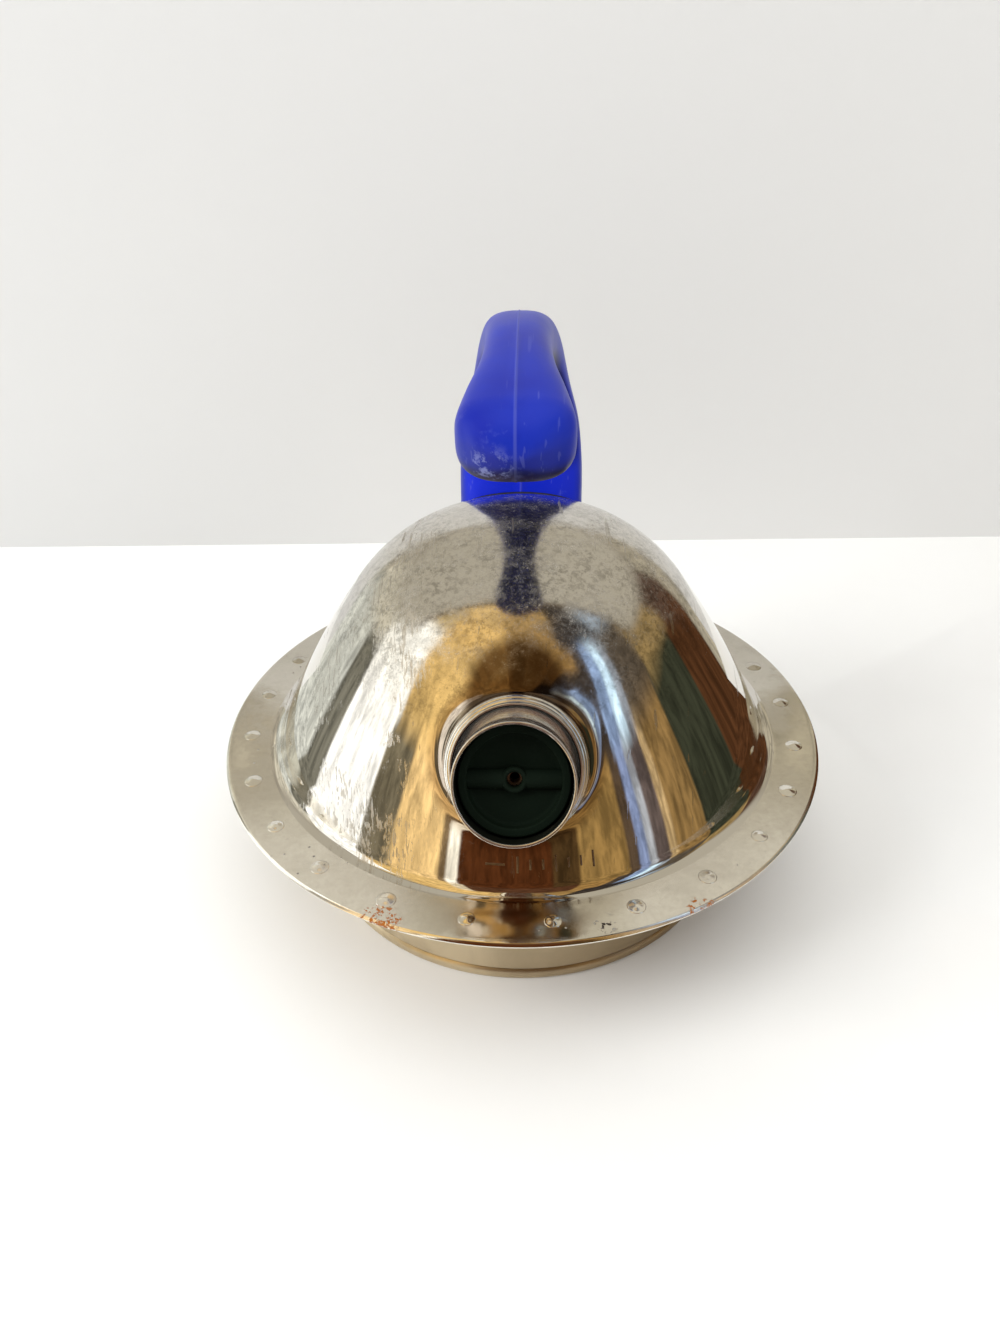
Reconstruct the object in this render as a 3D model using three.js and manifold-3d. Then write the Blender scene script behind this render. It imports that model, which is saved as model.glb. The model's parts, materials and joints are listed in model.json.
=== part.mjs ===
// A stovetop whistling kettle: a pressed steel dome with a wide flange on a narrower pan, a short slanting
// spout with a pull-out whistle, and a C-shaped handle that stands on the rear shoulder of the dome.
// Millimetres. +Z is up, the origin is the centre of the base on the table, and the spout points towards -Y.
import * as THREE from "three";
import { mergeVertices } from "three/addons/utils/BufferGeometryUtils.js";
import Module from "manifold-3d";

const wasm = await Module();
wasm.setup();

// ---------- driving dimensions ----------

const gap = 0.3; // clearance between neighbouring pieces
const sheet = 0.6; // thickness of the pressed steel

const flangeRadius = 115;
const flangeHeight = 57; // top face of the flange above the table
const hemRadius = 1.2; // outer radius of the rolled edge
const hemTuck = 3; // how far the rolled edge reaches back under the flange

// Dome outline, as radius and rise above the flange
const crown = { control: 42, rise: 88.2 };
const shoulder = { radius: 62, rise: 58.7 };
const flankControl = { radius: 85.2, rise: 24.2 };
const foot = { radius: 92.8, rise: 3.9, control: 94, flangeStart: 98.5 };

const bumpCount = 24;
const bumpCircle = 105.9; // radius of the circle of bumps
const bumpPhase = 6.4; // degrees from the spout to the first bump
const bumpRadius = 2.8;
const bumpRise = 0.8;

const panFloor = 5.9; // underside of the pan's floor above the table
const panCorner = { inner: 75.5, control: 81.7, outer: 82.2, top: 12.5 };
const panNeck = { radius: 86.4, height: 50.5, control: 87, flangeStart: 91 };
const panFlangeRadius = 113.8;

const capRadius = 81.4;
const capRound = 2;
const capHeight = 5.4;

// The spout's own frame: its Z axis is the spout's axis, and it starts on the kettle's axis
const spoutRise = 32; // degrees above level
const spoutStart = 48.7; // height where the spout's axis crosses the kettle's
const neck = { radius: 22.7, end: 95 };
const flare = { radius: 32, root: 76, start: 79, corner: 82, end: 90 }; // the neck's wide foot
const seal = { start: 90, end: 94.4 };
const collar = { inner: 19.7, sleeve: 20.3, start: 86, end: 103.5, mouth: 20.2 };
const bead = { root: 21.6, crest: 22.9, from: 95.3, to: 98 }; // rolled bead that rests on the neck
const secondBead = { root: 20.8, crest: 22, from: 98.8, to: 101.6 };
const nozzle = { root: 19.4, start: 88, taperStart: 104, taperEnd: 116, radius: 17.3, lip: 132.6, end: 134 };
const lipRadius = 0.5;

const whistleFront = 126; // front face of the whistle along the spout
const whistleBack = 110.5;
const whistleRadius = 16.1;
const chamberRadius = 13.6;
const plateThickness = 0.8;
const whistleEdge = 0.6; // chamfer of the front rim
const fingerDish = 4.5; // depth of the two finger recesses
const dishFloor = 1.6; // thickness of their floor
const pullBar = { width: 6, setBack: 1 }; // the bar between them
const steamHole = { plate: 1.6, cup: 2.2 };
const sealGroove = { from: 114, to: 117.5, depth: 1.2, crown: 0.25 };

// Handle: centre line (y, rise above the flange), half width and half depth at each station, foot first
const handleStations = [
  [50, 50.5, 24.4, 14.5],
  [55, 68.5, 24.4, 14],
  [59.5, 85, 24.2, 12.5],
  [63.2, 101, 22.6, 11],
  [63.8, 115.5, 18.8, 10],
  [57.5, 128.5, 14.9, 9.6],
  [44.5, 137, 11.4, 9.6],
  [27, 141.6, 9.8, 9.8],
  [8, 142.4, 11.2, 10.4],
  [-11, 140.6, 13.8, 11.2],
  [-28, 137.6, 16.3, 12.4],
  [-43, 134.6, 17.9, 12.8],
  [-57, 132, 17.6, 12.3],
];
const handleSquareness = { foot: 2.6, nose: 3.3 }; // exponents of the superellipse section
const noseShare = 0.91; // where along the handle the free end starts to round off

const gasketThickness = 1.5;
const gasketLip = 0.8; // how far it shows around the foot
const saddle = { halfWidth: 13, halfDepth: 9 };
const tab = { halfWidth: 10, front: -4.8, back: -2.3, top: 20 };
const core = { halfWidth: 6, halfThickness: 1.5, start: 0.14, end: 0.82 }; // shares of the handle's length
const footFrame = { y: 57.6, rise: 78, lean: 15.3 }; // where the fasteners sit, and degrees of backward lean
const screwLevels = { upper: 14, lower: 2 };
const screw = { shank: 1.9, head: 3.9, headHeight: 2.6, seat: 7.2, tip: -8.9 };
const washer = { radius: 4.5, thickness: 0.8 };
const screwSlot = { width: 1.2, depth: 1.2 };
const nut = { radius: 4.04, front: -8.6, back: -5.4 };
const fastenerHole = 2.3;

// Facets of the round pieces
const roundSegments = 40; // about the kettle's axis
const spoutSegments = 28;
const plateSegments = 24;
const headSegments = 20;
const shankSegments = 16;
const nutSides = 6;
const bumpSegments = 6;
const curveSteps = 4;
const handleFacets = { around: 16, along: 32 };
const coreSteps = 24;

const beyond = 40; // how far a cutting block reaches past the piece it cuts

// ---------- materials ----------

function material(color, metalness, roughness) {
  return new THREE.MeshStandardMaterial({ color, metalness, roughness });
}

const polishedSteel = material(0xb8b2a6, 1, 0.18);
const satinSteel = material(0x9fa096, 1, 0.38);
const aluminium = material(0xb4b6b8, 1, 0.45);
const blueMoulding = material(0x2a35b8, 0, 0.5);
const blackPlastic = material(0x121612, 0, 0.6);
const greySilicone = material(0x3a3c3d, 0, 0.8);
const zincSteel = material(0xa7a9ab, 1, 0.35);

// ---------- building blocks ----------

// A three.js geometry as a manifold solid.
function toSolid(geometry) {
  const plain = geometry.clone();
  plain.deleteAttribute("normal");
  plain.deleteAttribute("uv");
  const merged = mergeVertices(plain);
  return new wasm.Manifold(
    new wasm.Mesh({
      numProp: 3,
      vertProperties: merged.attributes.position.array,
      triVerts: new Uint32Array(merged.index.array),
    }),
  );
}

// A manifold solid as a named three.js mesh.
function toMesh(name, solid, look) {
  const { vertProperties, triVerts } = solid.getMesh();
  const geometry = new THREE.BufferGeometry();
  geometry.setAttribute("position", new THREE.BufferAttribute(vertProperties, 3));
  geometry.setIndex(new THREE.BufferAttribute(triVerts, 1));
  geometry.computeVertexNormals();
  return namedMesh(name, geometry, look);
}

function namedMesh(name, geometry, look) {
  const mesh = new THREE.Mesh(geometry, look);
  mesh.name = name;
  return mesh;
}

const point = (radius, height) => new THREE.Vector2(radius, height);

// A closed outline of (radius, height) points turned about the Z axis.
function revolve(outline, segments) {
  const ring = [...outline];
  const onAxis = ring[0].x === 0 && ring[ring.length - 1].x === 0;
  if (!onAxis) ring.push(ring[0].clone());
  if (THREE.ShapeUtils.area(ring) < 0) ring.reverse();
  return new THREE.LatheGeometry(ring, segments).rotateX(Math.PI / 2);
}

// The outline moved sideways by a distance, to the right of its direction of travel.
function offsetOutline(outline, distance) {
  return outline.map((here, i) => {
    const before = outline[Math.max(i - 1, 0)];
    const after = outline[Math.min(i + 1, outline.length - 1)];
    const along = after.clone().sub(before).normalize();
    const radius = here.x === 0 ? 0 : here.x + along.y * distance;
    const height = here.x === 0 ? here.y - distance : here.y - along.x * distance;
    return point(radius, height);
  });
}

// A sheet of metal whose outer face is the outline.
function sheetBand(outline, thickness) {
  return [...outline, ...offsetOutline(outline, thickness).reverse()];
}

function cylinder(radius, from, to, segments) {
  const geometry = new THREE.CylinderGeometry(radius, radius, to - from, segments);
  return geometry.rotateX(Math.PI / 2).translate(0, 0, (from + to) / 2);
}

// A block between two corners.
function block(low, high) {
  const size = high.map((value, i) => value - low[i]);
  const middle = high.map((value, i) => (value + low[i]) / 2);
  return new THREE.BoxGeometry(...size).translate(...middle);
}

// ---------- frames ----------

const spoutFrame = new THREE.Matrix4()
  .makeTranslation(0, 0, spoutStart)
  .multiply(new THREE.Matrix4().makeRotationX(THREE.MathUtils.degToRad(90 - spoutRise)));

// The handle foot's frame: X across, Y towards the rear of the kettle, Z up along the column.
const handleFootFrame = new THREE.Matrix4()
  .makeTranslation(0, footFrame.y, flangeHeight + footFrame.rise)
  .multiply(new THREE.Matrix4().makeRotationX(THREE.MathUtils.degToRad(-footFrame.lean)));

function inFrame(matrix, ...children) {
  const group = new THREE.Group();
  group.applyMatrix4(matrix);
  group.add(...children);
  return group;
}

// ---------- dome ----------

// The outside of the dome from its crown down to where the flange becomes flat.
function domeCurve() {
  const level = (rise) => flangeHeight + rise;
  const path = new THREE.Path();
  path.moveTo(0, level(crown.rise));
  path.quadraticCurveTo(crown.control, level(crown.rise), shoulder.radius, level(shoulder.rise));
  path.quadraticCurveTo(flankControl.radius, level(flankControl.rise), foot.radius, level(foot.rise));
  path.quadraticCurveTo(foot.control, flangeHeight, foot.flangeStart, flangeHeight);
  return path;
}

// The solid that the dome would be if it were full, grown outwards by a distance.
function fullDome(growth) {
  const outline = offsetOutline(domeCurve().getPoints(curveSteps), -growth);
  const edge = outline[outline.length - 1];
  const below = flangeHeight - sheet;
  return toSolid(revolve([...outline, point(edge.x, below), point(0, below)], roundSegments));
}

function domeSheet() {
  const path = domeCurve();
  const hemCentre = flangeRadius - hemRadius;
  path.lineTo(hemCentre, flangeHeight);
  path.absarc(hemCentre, flangeHeight - hemRadius, hemRadius, Math.PI / 2, -Math.PI / 2, true);
  path.lineTo(hemCentre - hemTuck, flangeHeight - 2 * hemRadius);
  return toSolid(revolve(sheetBand(uniquePoints(path.getPoints(curveSteps)), sheet), roundSegments));
}

// A path repeats the point where two of its curves meet.
function uniquePoints(points) {
  return points.filter((here, i) => i === 0 || here.distanceTo(points[i - 1]) > 1e-6);
}

// The drawn neck as a full solid about the spout's axis, shrunk by a distance.
function fullNeck(shrink, end) {
  const radius = neck.radius - shrink;
  const path = new THREE.Path();
  path.moveTo(0, flare.root - shrink);
  path.lineTo(flare.radius - shrink, flare.start - shrink);
  path.quadraticCurveTo(radius, flare.corner - shrink, radius, flare.end - shrink);
  path.lineTo(radius, end);
  path.lineTo(0, end);
  return toSolid(revolve(uniquePoints(path.getPoints(curveSteps)), spoutSegments).applyMatrix4(spoutFrame));
}

function bump(angle) {
  const shoulderOfBump = point(bumpRadius * 0.55, bumpRise * 0.7);
  const outline = [point(0, bumpRise), shoulderOfBump, point(bumpRadius, -gap), point(0, -gap)];
  const across = bumpCircle * Math.sin(angle);
  const along = -bumpCircle * Math.cos(angle);
  return toSolid(revolve(outline, bumpSegments).translate(across, along, flangeHeight));
}

function domeShell() {
  let shell = domeSheet()
    .add(fullNeck(0, neck.end))
    .subtract(fullDome(-sheet))
    .subtract(fullNeck(sheet, neck.end + sheet));
  for (let i = 0; i < bumpCount; i++) {
    shell = shell.add(bump(THREE.MathUtils.degToRad(bumpPhase + (360 / bumpCount) * i)));
  }
  return toMesh("dome_shell", shell, polishedSteel);
}

// ---------- base ----------

function basePan() {
  const underFlange = flangeHeight - 2 * sheet - gap;
  const path = new THREE.Path();
  path.moveTo(0, panFloor);
  path.lineTo(panCorner.inner, panFloor);
  path.quadraticCurveTo(panCorner.control, panFloor, panCorner.outer, panCorner.top);
  path.lineTo(panNeck.radius, panNeck.height);
  path.quadraticCurveTo(panNeck.control, underFlange, panNeck.flangeStart, underFlange);
  path.lineTo(panFlangeRadius, underFlange);
  const outline = uniquePoints(path.getPoints(curveSteps));
  return namedMesh("base_pan", revolve(sheetBand(outline, -sheet), roundSegments), satinSteel);
}

function baseCap() {
  const path = new THREE.Path();
  path.moveTo(0, 0);
  path.lineTo(capRadius - capRound, 0);
  path.absarc(capRadius - capRound, capRound, capRound, -Math.PI / 2, 0, false);
  path.lineTo(capRadius, capHeight);
  const outline = uniquePoints(path.getPoints(2));
  return namedMesh("base_cap", revolve(sheetBand(outline, -sheet), roundSegments), satinSteel);
}

function heatSpreader() {
  const radius = capRadius - sheet - 2 * gap;
  const bottom = sheet + gap;
  const top = panFloor - gap;
  const outline = [
    point(0, bottom),
    point(radius - capRound, bottom),
    point(radius, bottom + capRound),
    point(radius, capHeight - 1),
    point(panCorner.inner, top),
    point(0, top),
  ];
  return namedMesh("heat_spreader", revolve(outline, roundSegments), aluminium);
}

// ---------- spout, in the spout's frame ----------

function spoutCollar() {
  const path = new THREE.Path();
  path.moveTo(collar.inner, collar.start);
  path.lineTo(collar.sleeve, collar.start);
  path.lineTo(collar.sleeve, bead.from);
  for (const { root, crest, from, to } of [bead, secondBead]) {
    path.lineTo(root, from);
    path.quadraticCurveTo(crest, (from + to) / 2, root, to);
  }
  path.lineTo(collar.mouth, collar.end);
  path.lineTo(collar.inner, collar.end);
  const outline = uniquePoints(path.getPoints(curveSteps));
  return namedMesh("spout_collar", revolve(outline, spoutSegments), polishedSteel);
}

function spoutSeal() {
  const inner = collar.sleeve + gap;
  const outer = neck.radius - sheet - gap;
  const outline = [
    point(inner, seal.start),
    point(outer, seal.start),
    point(outer, seal.end),
    point(inner, seal.end),
  ];
  return namedMesh("spout_seal", revolve(outline, spoutSegments), greySilicone);
}

function spoutNozzle() {
  const path = new THREE.Path();
  path.moveTo(nozzle.root, nozzle.start);
  path.lineTo(nozzle.root, nozzle.taperStart);
  path.lineTo(nozzle.radius, nozzle.taperEnd);
  path.lineTo(nozzle.radius, nozzle.lip);
  const middle = nozzle.radius - sheet / 2;
  path.absarc(middle, nozzle.end - lipRadius, lipRadius, 0, Math.PI, false);
  path.lineTo(nozzle.radius - sheet, nozzle.lip);
  path.lineTo(nozzle.radius - sheet, nozzle.taperEnd);
  path.lineTo(nozzle.root - sheet, nozzle.taperStart);
  path.lineTo(nozzle.root - sheet, nozzle.start);
  const outline = uniquePoints(path.getPoints(curveSteps));
  return namedMesh("spout_nozzle", revolve(outline, spoutSegments), polishedSteel);
}

// ---------- whistle, in the spout's frame ----------

function whistleCup() {
  const floor = whistleFront - fingerDish;
  const outline = [
    point(0, floor - dishFloor),
    point(chamberRadius, floor - dishFloor),
    point(chamberRadius, whistleBack),
    point(whistleRadius, whistleBack),
    point(whistleRadius, sealGroove.from),
    point(whistleRadius - sealGroove.depth, sealGroove.from),
    point(whistleRadius - sealGroove.depth, sealGroove.to),
    point(whistleRadius, sealGroove.to),
    point(whistleRadius, whistleFront - whistleEdge),
    point(whistleRadius - whistleEdge, whistleFront),
    point(chamberRadius, whistleFront),
    point(chamberRadius, floor),
    point(0, floor),
  ];
  const reach = chamberRadius + sheet;
  const bar = block(
    [-reach, -pullBar.width / 2, floor - sheet],
    [reach, pullBar.width / 2, whistleFront - pullBar.setBack],
  );
  const hole = cylinder(steamHole.cup, whistleBack, whistleFront, shankSegments);
  const cup = toSolid(revolve(outline, spoutSegments)).add(toSolid(bar)).subtract(toSolid(hole));
  return toMesh("whistle_cup", cup, blackPlastic);
}

function whistlePlate(name, from) {
  const outline = [
    point(steamHole.plate, from),
    point(chamberRadius - gap, from),
    point(chamberRadius - gap, from + plateThickness),
    point(steamHole.plate, from + plateThickness),
  ];
  return namedMesh(name, revolve(outline, plateSegments), zincSteel);
}

function whistleSeal() {
  const inner = whistleRadius - sealGroove.depth + gap;
  const outline = [
    point(inner, sealGroove.from + gap),
    point(whistleRadius, sealGroove.from + gap),
    point(whistleRadius + sealGroove.crown, (sealGroove.from + sealGroove.to) / 2),
    point(whistleRadius, sealGroove.to - gap),
    point(inner, sealGroove.to - gap),
  ];
  return namedMesh("whistle_seal", revolve(outline, spoutSegments), greySilicone);
}

// ---------- handle ----------

const handleSpine = new THREE.CatmullRomCurve3(
  handleStations.map(([y, rise]) => new THREE.Vector3(0, y, flangeHeight + rise)),
);
const handleSections = new THREE.CatmullRomCurve3(
  handleStations.map(([, , width, depth]) => new THREE.Vector3(width, depth, 0)),
);

// A bar of superellipse section along the handle's centre line, grown by a distance, with a rounded free end.
function handleBar(growth) {
  const tipShare = 0.04; // the free end closes to this share of its section
  const geometry = new THREE.CylinderGeometry(1, 1, 1, handleFacets.around, handleFacets.along);
  const position = geometry.attributes.position;
  for (let i = 0; i < position.count; i++) {
    const share = 0.5 - position.getY(i);
    const power = 2 / THREE.MathUtils.lerp(handleSquareness.foot, handleSquareness.nose, share ** 2);
    const squash = (value) => Math.sign(value) * Math.abs(value) ** power;
    const into = Math.max(0, (share - noseShare) / (1 - noseShare)) * (Math.PI / 2);
    const at = share < noseShare ? share : noseShare + (1 - noseShare) * Math.sin(into);
    const here = handleSpine.getPoint(at);
    const section = handleSections.getPoint(at);
    const tangent = handleSpine.getTangent(at);
    const closing = Math.max(Math.cos(into), tipShare);
    const across = squash(position.getX(i)) * (section.x + growth) * closing;
    const outward = squash(position.getZ(i)) * (section.y + growth) * closing;
    position.setXYZ(i, across, here.y + tangent.z * outward, here.z - tangent.y * outward);
  }
  return toSolid(geometry);
}

// A flat strip along part of the centre line.
function coreStrip(growth, from, to) {
  const knots = handleStations.length;
  const stretch = new THREE.CatmullRomCurve3(
    Array.from({ length: knots }, (_, i) => handleSpine.getPoint(from + ((to - from) * i) / (knots - 1))),
  );
  const w = core.halfWidth + growth;
  const h = core.halfThickness + growth;
  const shape = new THREE.Shape([point(-w, -h), point(w, -h), point(w, h), point(-w, h)]);
  return toSolid(new THREE.ExtrudeGeometry(shape, { steps: coreSteps, extrudePath: stretch }));
}

const inFoot = (geometry) => toSolid(geometry.applyMatrix4(handleFootFrame));

// A round or hexagonal bar through the foot from front to rear, at a level along the column.
function acrossFoot(radius, front, back, level, segments = shankSegments) {
  const geometry = cylinder(radius, front, back, segments);
  return geometry.rotateX(-Math.PI / 2).translate(0, 0, level);
}

function handleGrip() {
  const tabSlot = block(
    [-tab.halfWidth - gap, tab.front - gap, -beyond],
    [tab.halfWidth + gap, tab.back + gap, tab.top + gap],
  );
  const nutChannel = block(
    [-nut.radius - gap, screw.tip - gap, -beyond],
    [nut.radius + gap, tab.front, screwLevels.upper + nut.radius + gap],
  );
  let grip = handleBar(0)
    .subtract(fullDome(gap + gasketThickness + gap))
    .subtract(coreStrip(gap, core.start - 0.12, core.end + 0.005))
    .subtract(inFoot(tabSlot))
    .subtract(inFoot(nutChannel));
  const counterboreFloor = screw.seat - washer.thickness - 2 * gap;
  for (const level of Object.values(screwLevels)) {
    grip = grip
      .subtract(inFoot(acrossFoot(fastenerHole, tab.front, beyond, level)))
      .subtract(inFoot(acrossFoot(washer.radius + gap, counterboreFloor, beyond, level, headSegments)));
  }
  return toMesh("handle_grip", grip, blueMoulding);
}

function handleCore() {
  let strip = coreStrip(0, core.start, core.end).subtract(fullDome(gap + gasketThickness + 2 * gap));
  for (const level of Object.values(screwLevels)) {
    strip = strip.subtract(inFoot(acrossFoot(fastenerHole, -beyond, beyond, level)));
  }
  return toMesh("handle_core", strip, zincSteel);
}

// The thin layer that lies on the dome under the handle's foot.
function footLayer() {
  return fullDome(gap + gasketThickness).subtract(fullDome(gap));
}

function handleGasket() {
  const { halfWidth, halfDepth } = saddle;
  const opening = block(
    [-halfWidth - gap, -halfDepth - gap, -beyond],
    [halfWidth + gap, halfDepth + gap, beyond],
  );
  const pad = footLayer().intersect(handleBar(gasketLip)).subtract(inFoot(opening));
  return toMesh("handle_gasket", pad, greySilicone);
}

function handleBracket() {
  const { halfWidth, halfDepth } = saddle;
  const footprint = block([-halfWidth, -halfDepth, -beyond], [halfWidth, halfDepth, beyond]);
  const plate = footLayer().intersect(inFoot(footprint));
  const upright = inFoot(block([-tab.halfWidth, tab.front, -beyond], [tab.halfWidth, tab.back, tab.top]));
  let bracket = plate.add(upright.subtract(fullDome(gap)));
  for (const level of Object.values(screwLevels)) {
    bracket = bracket.subtract(inFoot(acrossFoot(fastenerHole, -beyond, beyond, level)));
  }
  return toMesh("handle_bracket", bracket, zincSteel);
}

// Each fastener lies in the foot's frame, pointing from front to rear.
function handleScrew(name, level) {
  const headTop = screw.seat + screw.headHeight;
  const shank = toSolid(acrossFoot(screw.shank, screw.tip, screw.seat + gap, level));
  const head = toSolid(acrossFoot(screw.head, screw.seat, headTop, level, headSegments));
  const slot = block(
    [-beyond, headTop - screwSlot.depth, level - screwSlot.width / 2],
    [beyond, headTop + screwSlot.depth, level + screwSlot.width / 2],
  );
  return toMesh(name, shank.add(head).subtract(toSolid(slot)), zincSteel);
}

function ringAcross(name, radius, front, back, level, segments) {
  const ring = toSolid(acrossFoot(radius, front, back, level, segments));
  const hole = toSolid(acrossFoot(fastenerHole, front - gap, back + gap, level));
  return toMesh(name, ring.subtract(hole), zincSteel);
}

function handleFasteners() {
  const washerBack = screw.seat - gap;
  const washerFront = washerBack - washer.thickness;
  return Object.entries(screwLevels).flatMap(([place, level]) => [
    handleScrew(`handle_screw_${place}`, level),
    ringAcross(`handle_washer_${place}`, washer.radius, washerFront, washerBack, level, headSegments),
    ringAcross(`handle_nut_${place}`, nut.radius, nut.front, nut.back, level, nutSides),
  ]);
}

// ---------- assembly ----------

const kettle = new THREE.Group();
kettle.add(domeShell(), basePan(), heatSpreader(), baseCap());
kettle.add(
  inFrame(
    spoutFrame,
    spoutCollar(),
    spoutSeal(),
    spoutNozzle(),
    whistleCup(),
    whistlePlate("whistle_front_plate", whistleFront - fingerDish - dishFloor - gap - plateThickness),
    whistlePlate("whistle_back_plate", whistleBack + whistleEdge),
    whistleSeal(),
  ),
);
kettle.add(handleGrip(), handleCore(), handleGasket(), handleBracket());
kettle.add(inFrame(handleFootFrame, ...handleFasteners()));

export default kettle;
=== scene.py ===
"""The looks of a stovetop whistling kettle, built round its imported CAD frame.

Shapes are written in millimetres in the CAD's own frame: +Z up, the origin at the centre of the base,
the spout towards -Y. They become metres when a mesh is made.
"""

import json
import math
import random

import bmesh
import bpy
from mathutils import Matrix, Vector


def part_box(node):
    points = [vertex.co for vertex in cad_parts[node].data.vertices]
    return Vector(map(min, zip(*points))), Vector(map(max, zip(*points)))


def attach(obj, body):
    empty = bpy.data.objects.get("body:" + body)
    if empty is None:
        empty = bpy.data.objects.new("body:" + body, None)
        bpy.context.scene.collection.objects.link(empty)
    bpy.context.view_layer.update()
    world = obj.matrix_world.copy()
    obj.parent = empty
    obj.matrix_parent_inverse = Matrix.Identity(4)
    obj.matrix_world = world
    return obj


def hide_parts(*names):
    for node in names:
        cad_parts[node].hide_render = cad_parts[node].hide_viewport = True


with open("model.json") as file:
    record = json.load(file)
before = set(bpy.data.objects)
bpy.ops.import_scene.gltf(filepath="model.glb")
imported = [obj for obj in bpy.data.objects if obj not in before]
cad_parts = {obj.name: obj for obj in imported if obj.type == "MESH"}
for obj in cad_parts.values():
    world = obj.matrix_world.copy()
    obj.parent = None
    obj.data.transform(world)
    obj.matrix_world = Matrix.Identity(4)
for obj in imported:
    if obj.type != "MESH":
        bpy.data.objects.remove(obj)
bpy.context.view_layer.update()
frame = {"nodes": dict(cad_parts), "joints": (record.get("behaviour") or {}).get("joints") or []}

MM = 0.001
KETTLE = "kettle"
WHISTLE = "whistle"

# ---------- driving dimensions, in millimetres ----------

GAP = 0.3  # clearance between neighbouring pieces
SHEET = 0.6  # thickness of the pressed steel

FLANGE_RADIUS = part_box("dome_shell")[1].x / MM
FLANGE_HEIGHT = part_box("base_pan")[1].z / MM + SHEET + GAP
HEM_RADIUS = 1.2  # the flange's rolled edge
HEM_TUCK = 3
CROWN = {"control": 42, "rise": 88.2}
SHOULDER = {"radius": 62, "rise": 58.7}
FLANK_CONTROL = {"radius": 85.2, "rise": 24.2}
FOOT = {"radius": 92.8, "rise": 3.9, "control": 94, "flange_start": 98.5}

RIM_RUST = (-43.5, -107, FLANGE_HEIGHT)  # where the folded edge has started to rust
RIM_RUST_RIGHT = (59, -99.5, FLANGE_HEIGHT)
RIM_SPECKS = (28, -106, FLANGE_HEIGHT)  # two black pits
BOILED_OVER = (0, -69, 120)  # a brown stain on the steel above the spout
NECK_STAIN = (0, -73, 94.3)  # a fainter one all round the neck

BUMP_COUNT = 24
BUMP_CIRCLE = 105.9
BUMP_PHASE = math.radians(6.4)
BUMP_RADIUS = 3.1
BUMP_RISE = 0.85
BUMP_FOOT = 0.01  # a hair above the flange
BUMP_STEPS = 9
BUMP_ROUND = 28

# The stamped level mark: heights in millimetres, azimuths in degrees from the spout
LEVEL_MARK = {"rise": 9.5, "width": 0.7, "foot": 0.02, "ridge": 0.14}
LEVEL_DASH = (-6.4, -2.4)
LEVEL_TICKS = {"count": 7, "start": 0.2, "step": 2.6, "tall": 2.6, "short": 1.6}

PAN_FLOOR = 5.9
PAN_CORNER = {"inner": 81.5, "control": 82.15, "outer": 82.2, "top": 6.7}
PAN_NECK = {"radius": 86.4, "height": 50.5, "control": 87, "flange_start": 91}
PAN_FLANGE_RADIUS = 113.8
CAP_RADIUS = PAN_CORNER["outer"] - 0.1
CAP_ROUND = 2
CAP_HEIGHT = PAN_FLOOR - 0.04  # only a hairline shows between the pan and the cap
CAP_GROOVES = {"radii": (66, 44, 22), "depth": 0.2, "curve": 1.1}

SPOUT_START = 48.7  # where the spout's axis crosses the kettle's
DOME_SPAN = (50, 130)  # distances along the spout between which it always leaves the dome
NECK = {"radius": 22.7, "end": 95, "flare_end": 91}
FLARE_SIDE = 28.5  # how far the neck's flare reaches at its sides and bottom
FLARE_TOP = 38.5
FLARE_PROUD = 0.012  # how far the flare's skin stands above the dome's
FLARE_LAP = [(1.5, -0.6), (1.2, FLARE_PROUD), (0.6, FLARE_PROUD)]  # beyond its edge, above the dome
SLOPE_REACH = 0.5  # distance over which the dome's slope is taken
HOLE_MARGIN = 3.5  # how far the hole under the neck stays inside the flare's edge
COLLAR = {"inner": 19.7, "sleeve": 20.3, "start": 86, "end": 103.5, "mouth": 20.1, "lip": 0.3}
BEADS = [{"centre": 21.15, "along": 96.75, "radius": 1.4}, {"centre": 20.4, "along": 100.2, "radius": 1.3}]
NOZZLE = {"root": 19.4, "start": 88, "taper_start": 104, "taper_end": 116, "radius": 17.3, "end": 134}
LIP = {"radius": 0.5, "neck": 0.6}  # the roll, and how far the plain tube stops behind its middle
WHISTLE_FRONT = 126
WHISTLE_BACK = 110.5
WHISTLE_RADIUS = 16.1
CHAMBER_RADIUS = 13.6
DISH_BOTTOM = WHISTLE_FRONT - 4.5
CHAMBER_TOP = DISH_BOTTOM - 1.6
CUP_ROUNDS = {"dish": 1.4, "rim_inside": 0.5, "rim_outside": 0.6, "back": 0.4}
BAR = {"width": 6, "top": WHISTLE_FRONT - 1, "start": 2.6, "end": CHAMBER_RADIUS + 0.3}
BAR_FOOT = DISH_BOTTOM - 0.5  # the pull bar and the steam hole's boss start inside the floor
BOSS_WALL = 1.6
STEAM_HOLE = {"plate": 1.6, "cup": 2.2, "chamfer": 0.3, "chamfer_depth": 0.2}
SEAL_GROOVE = {"from": 114, "to": 117.5, "depth": 1.2}
SEAL_RIB = {"radius": 0.5, "sunk": 0.3}
PLATE = {"thickness": 0.8, "round": 0.2, "dish": 3, "back_rise": 0.15, "hole_drop": 0.1, "dish_drop": 0.25}
BACK_PLATE_START = WHISTLE_BACK + 0.6

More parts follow.
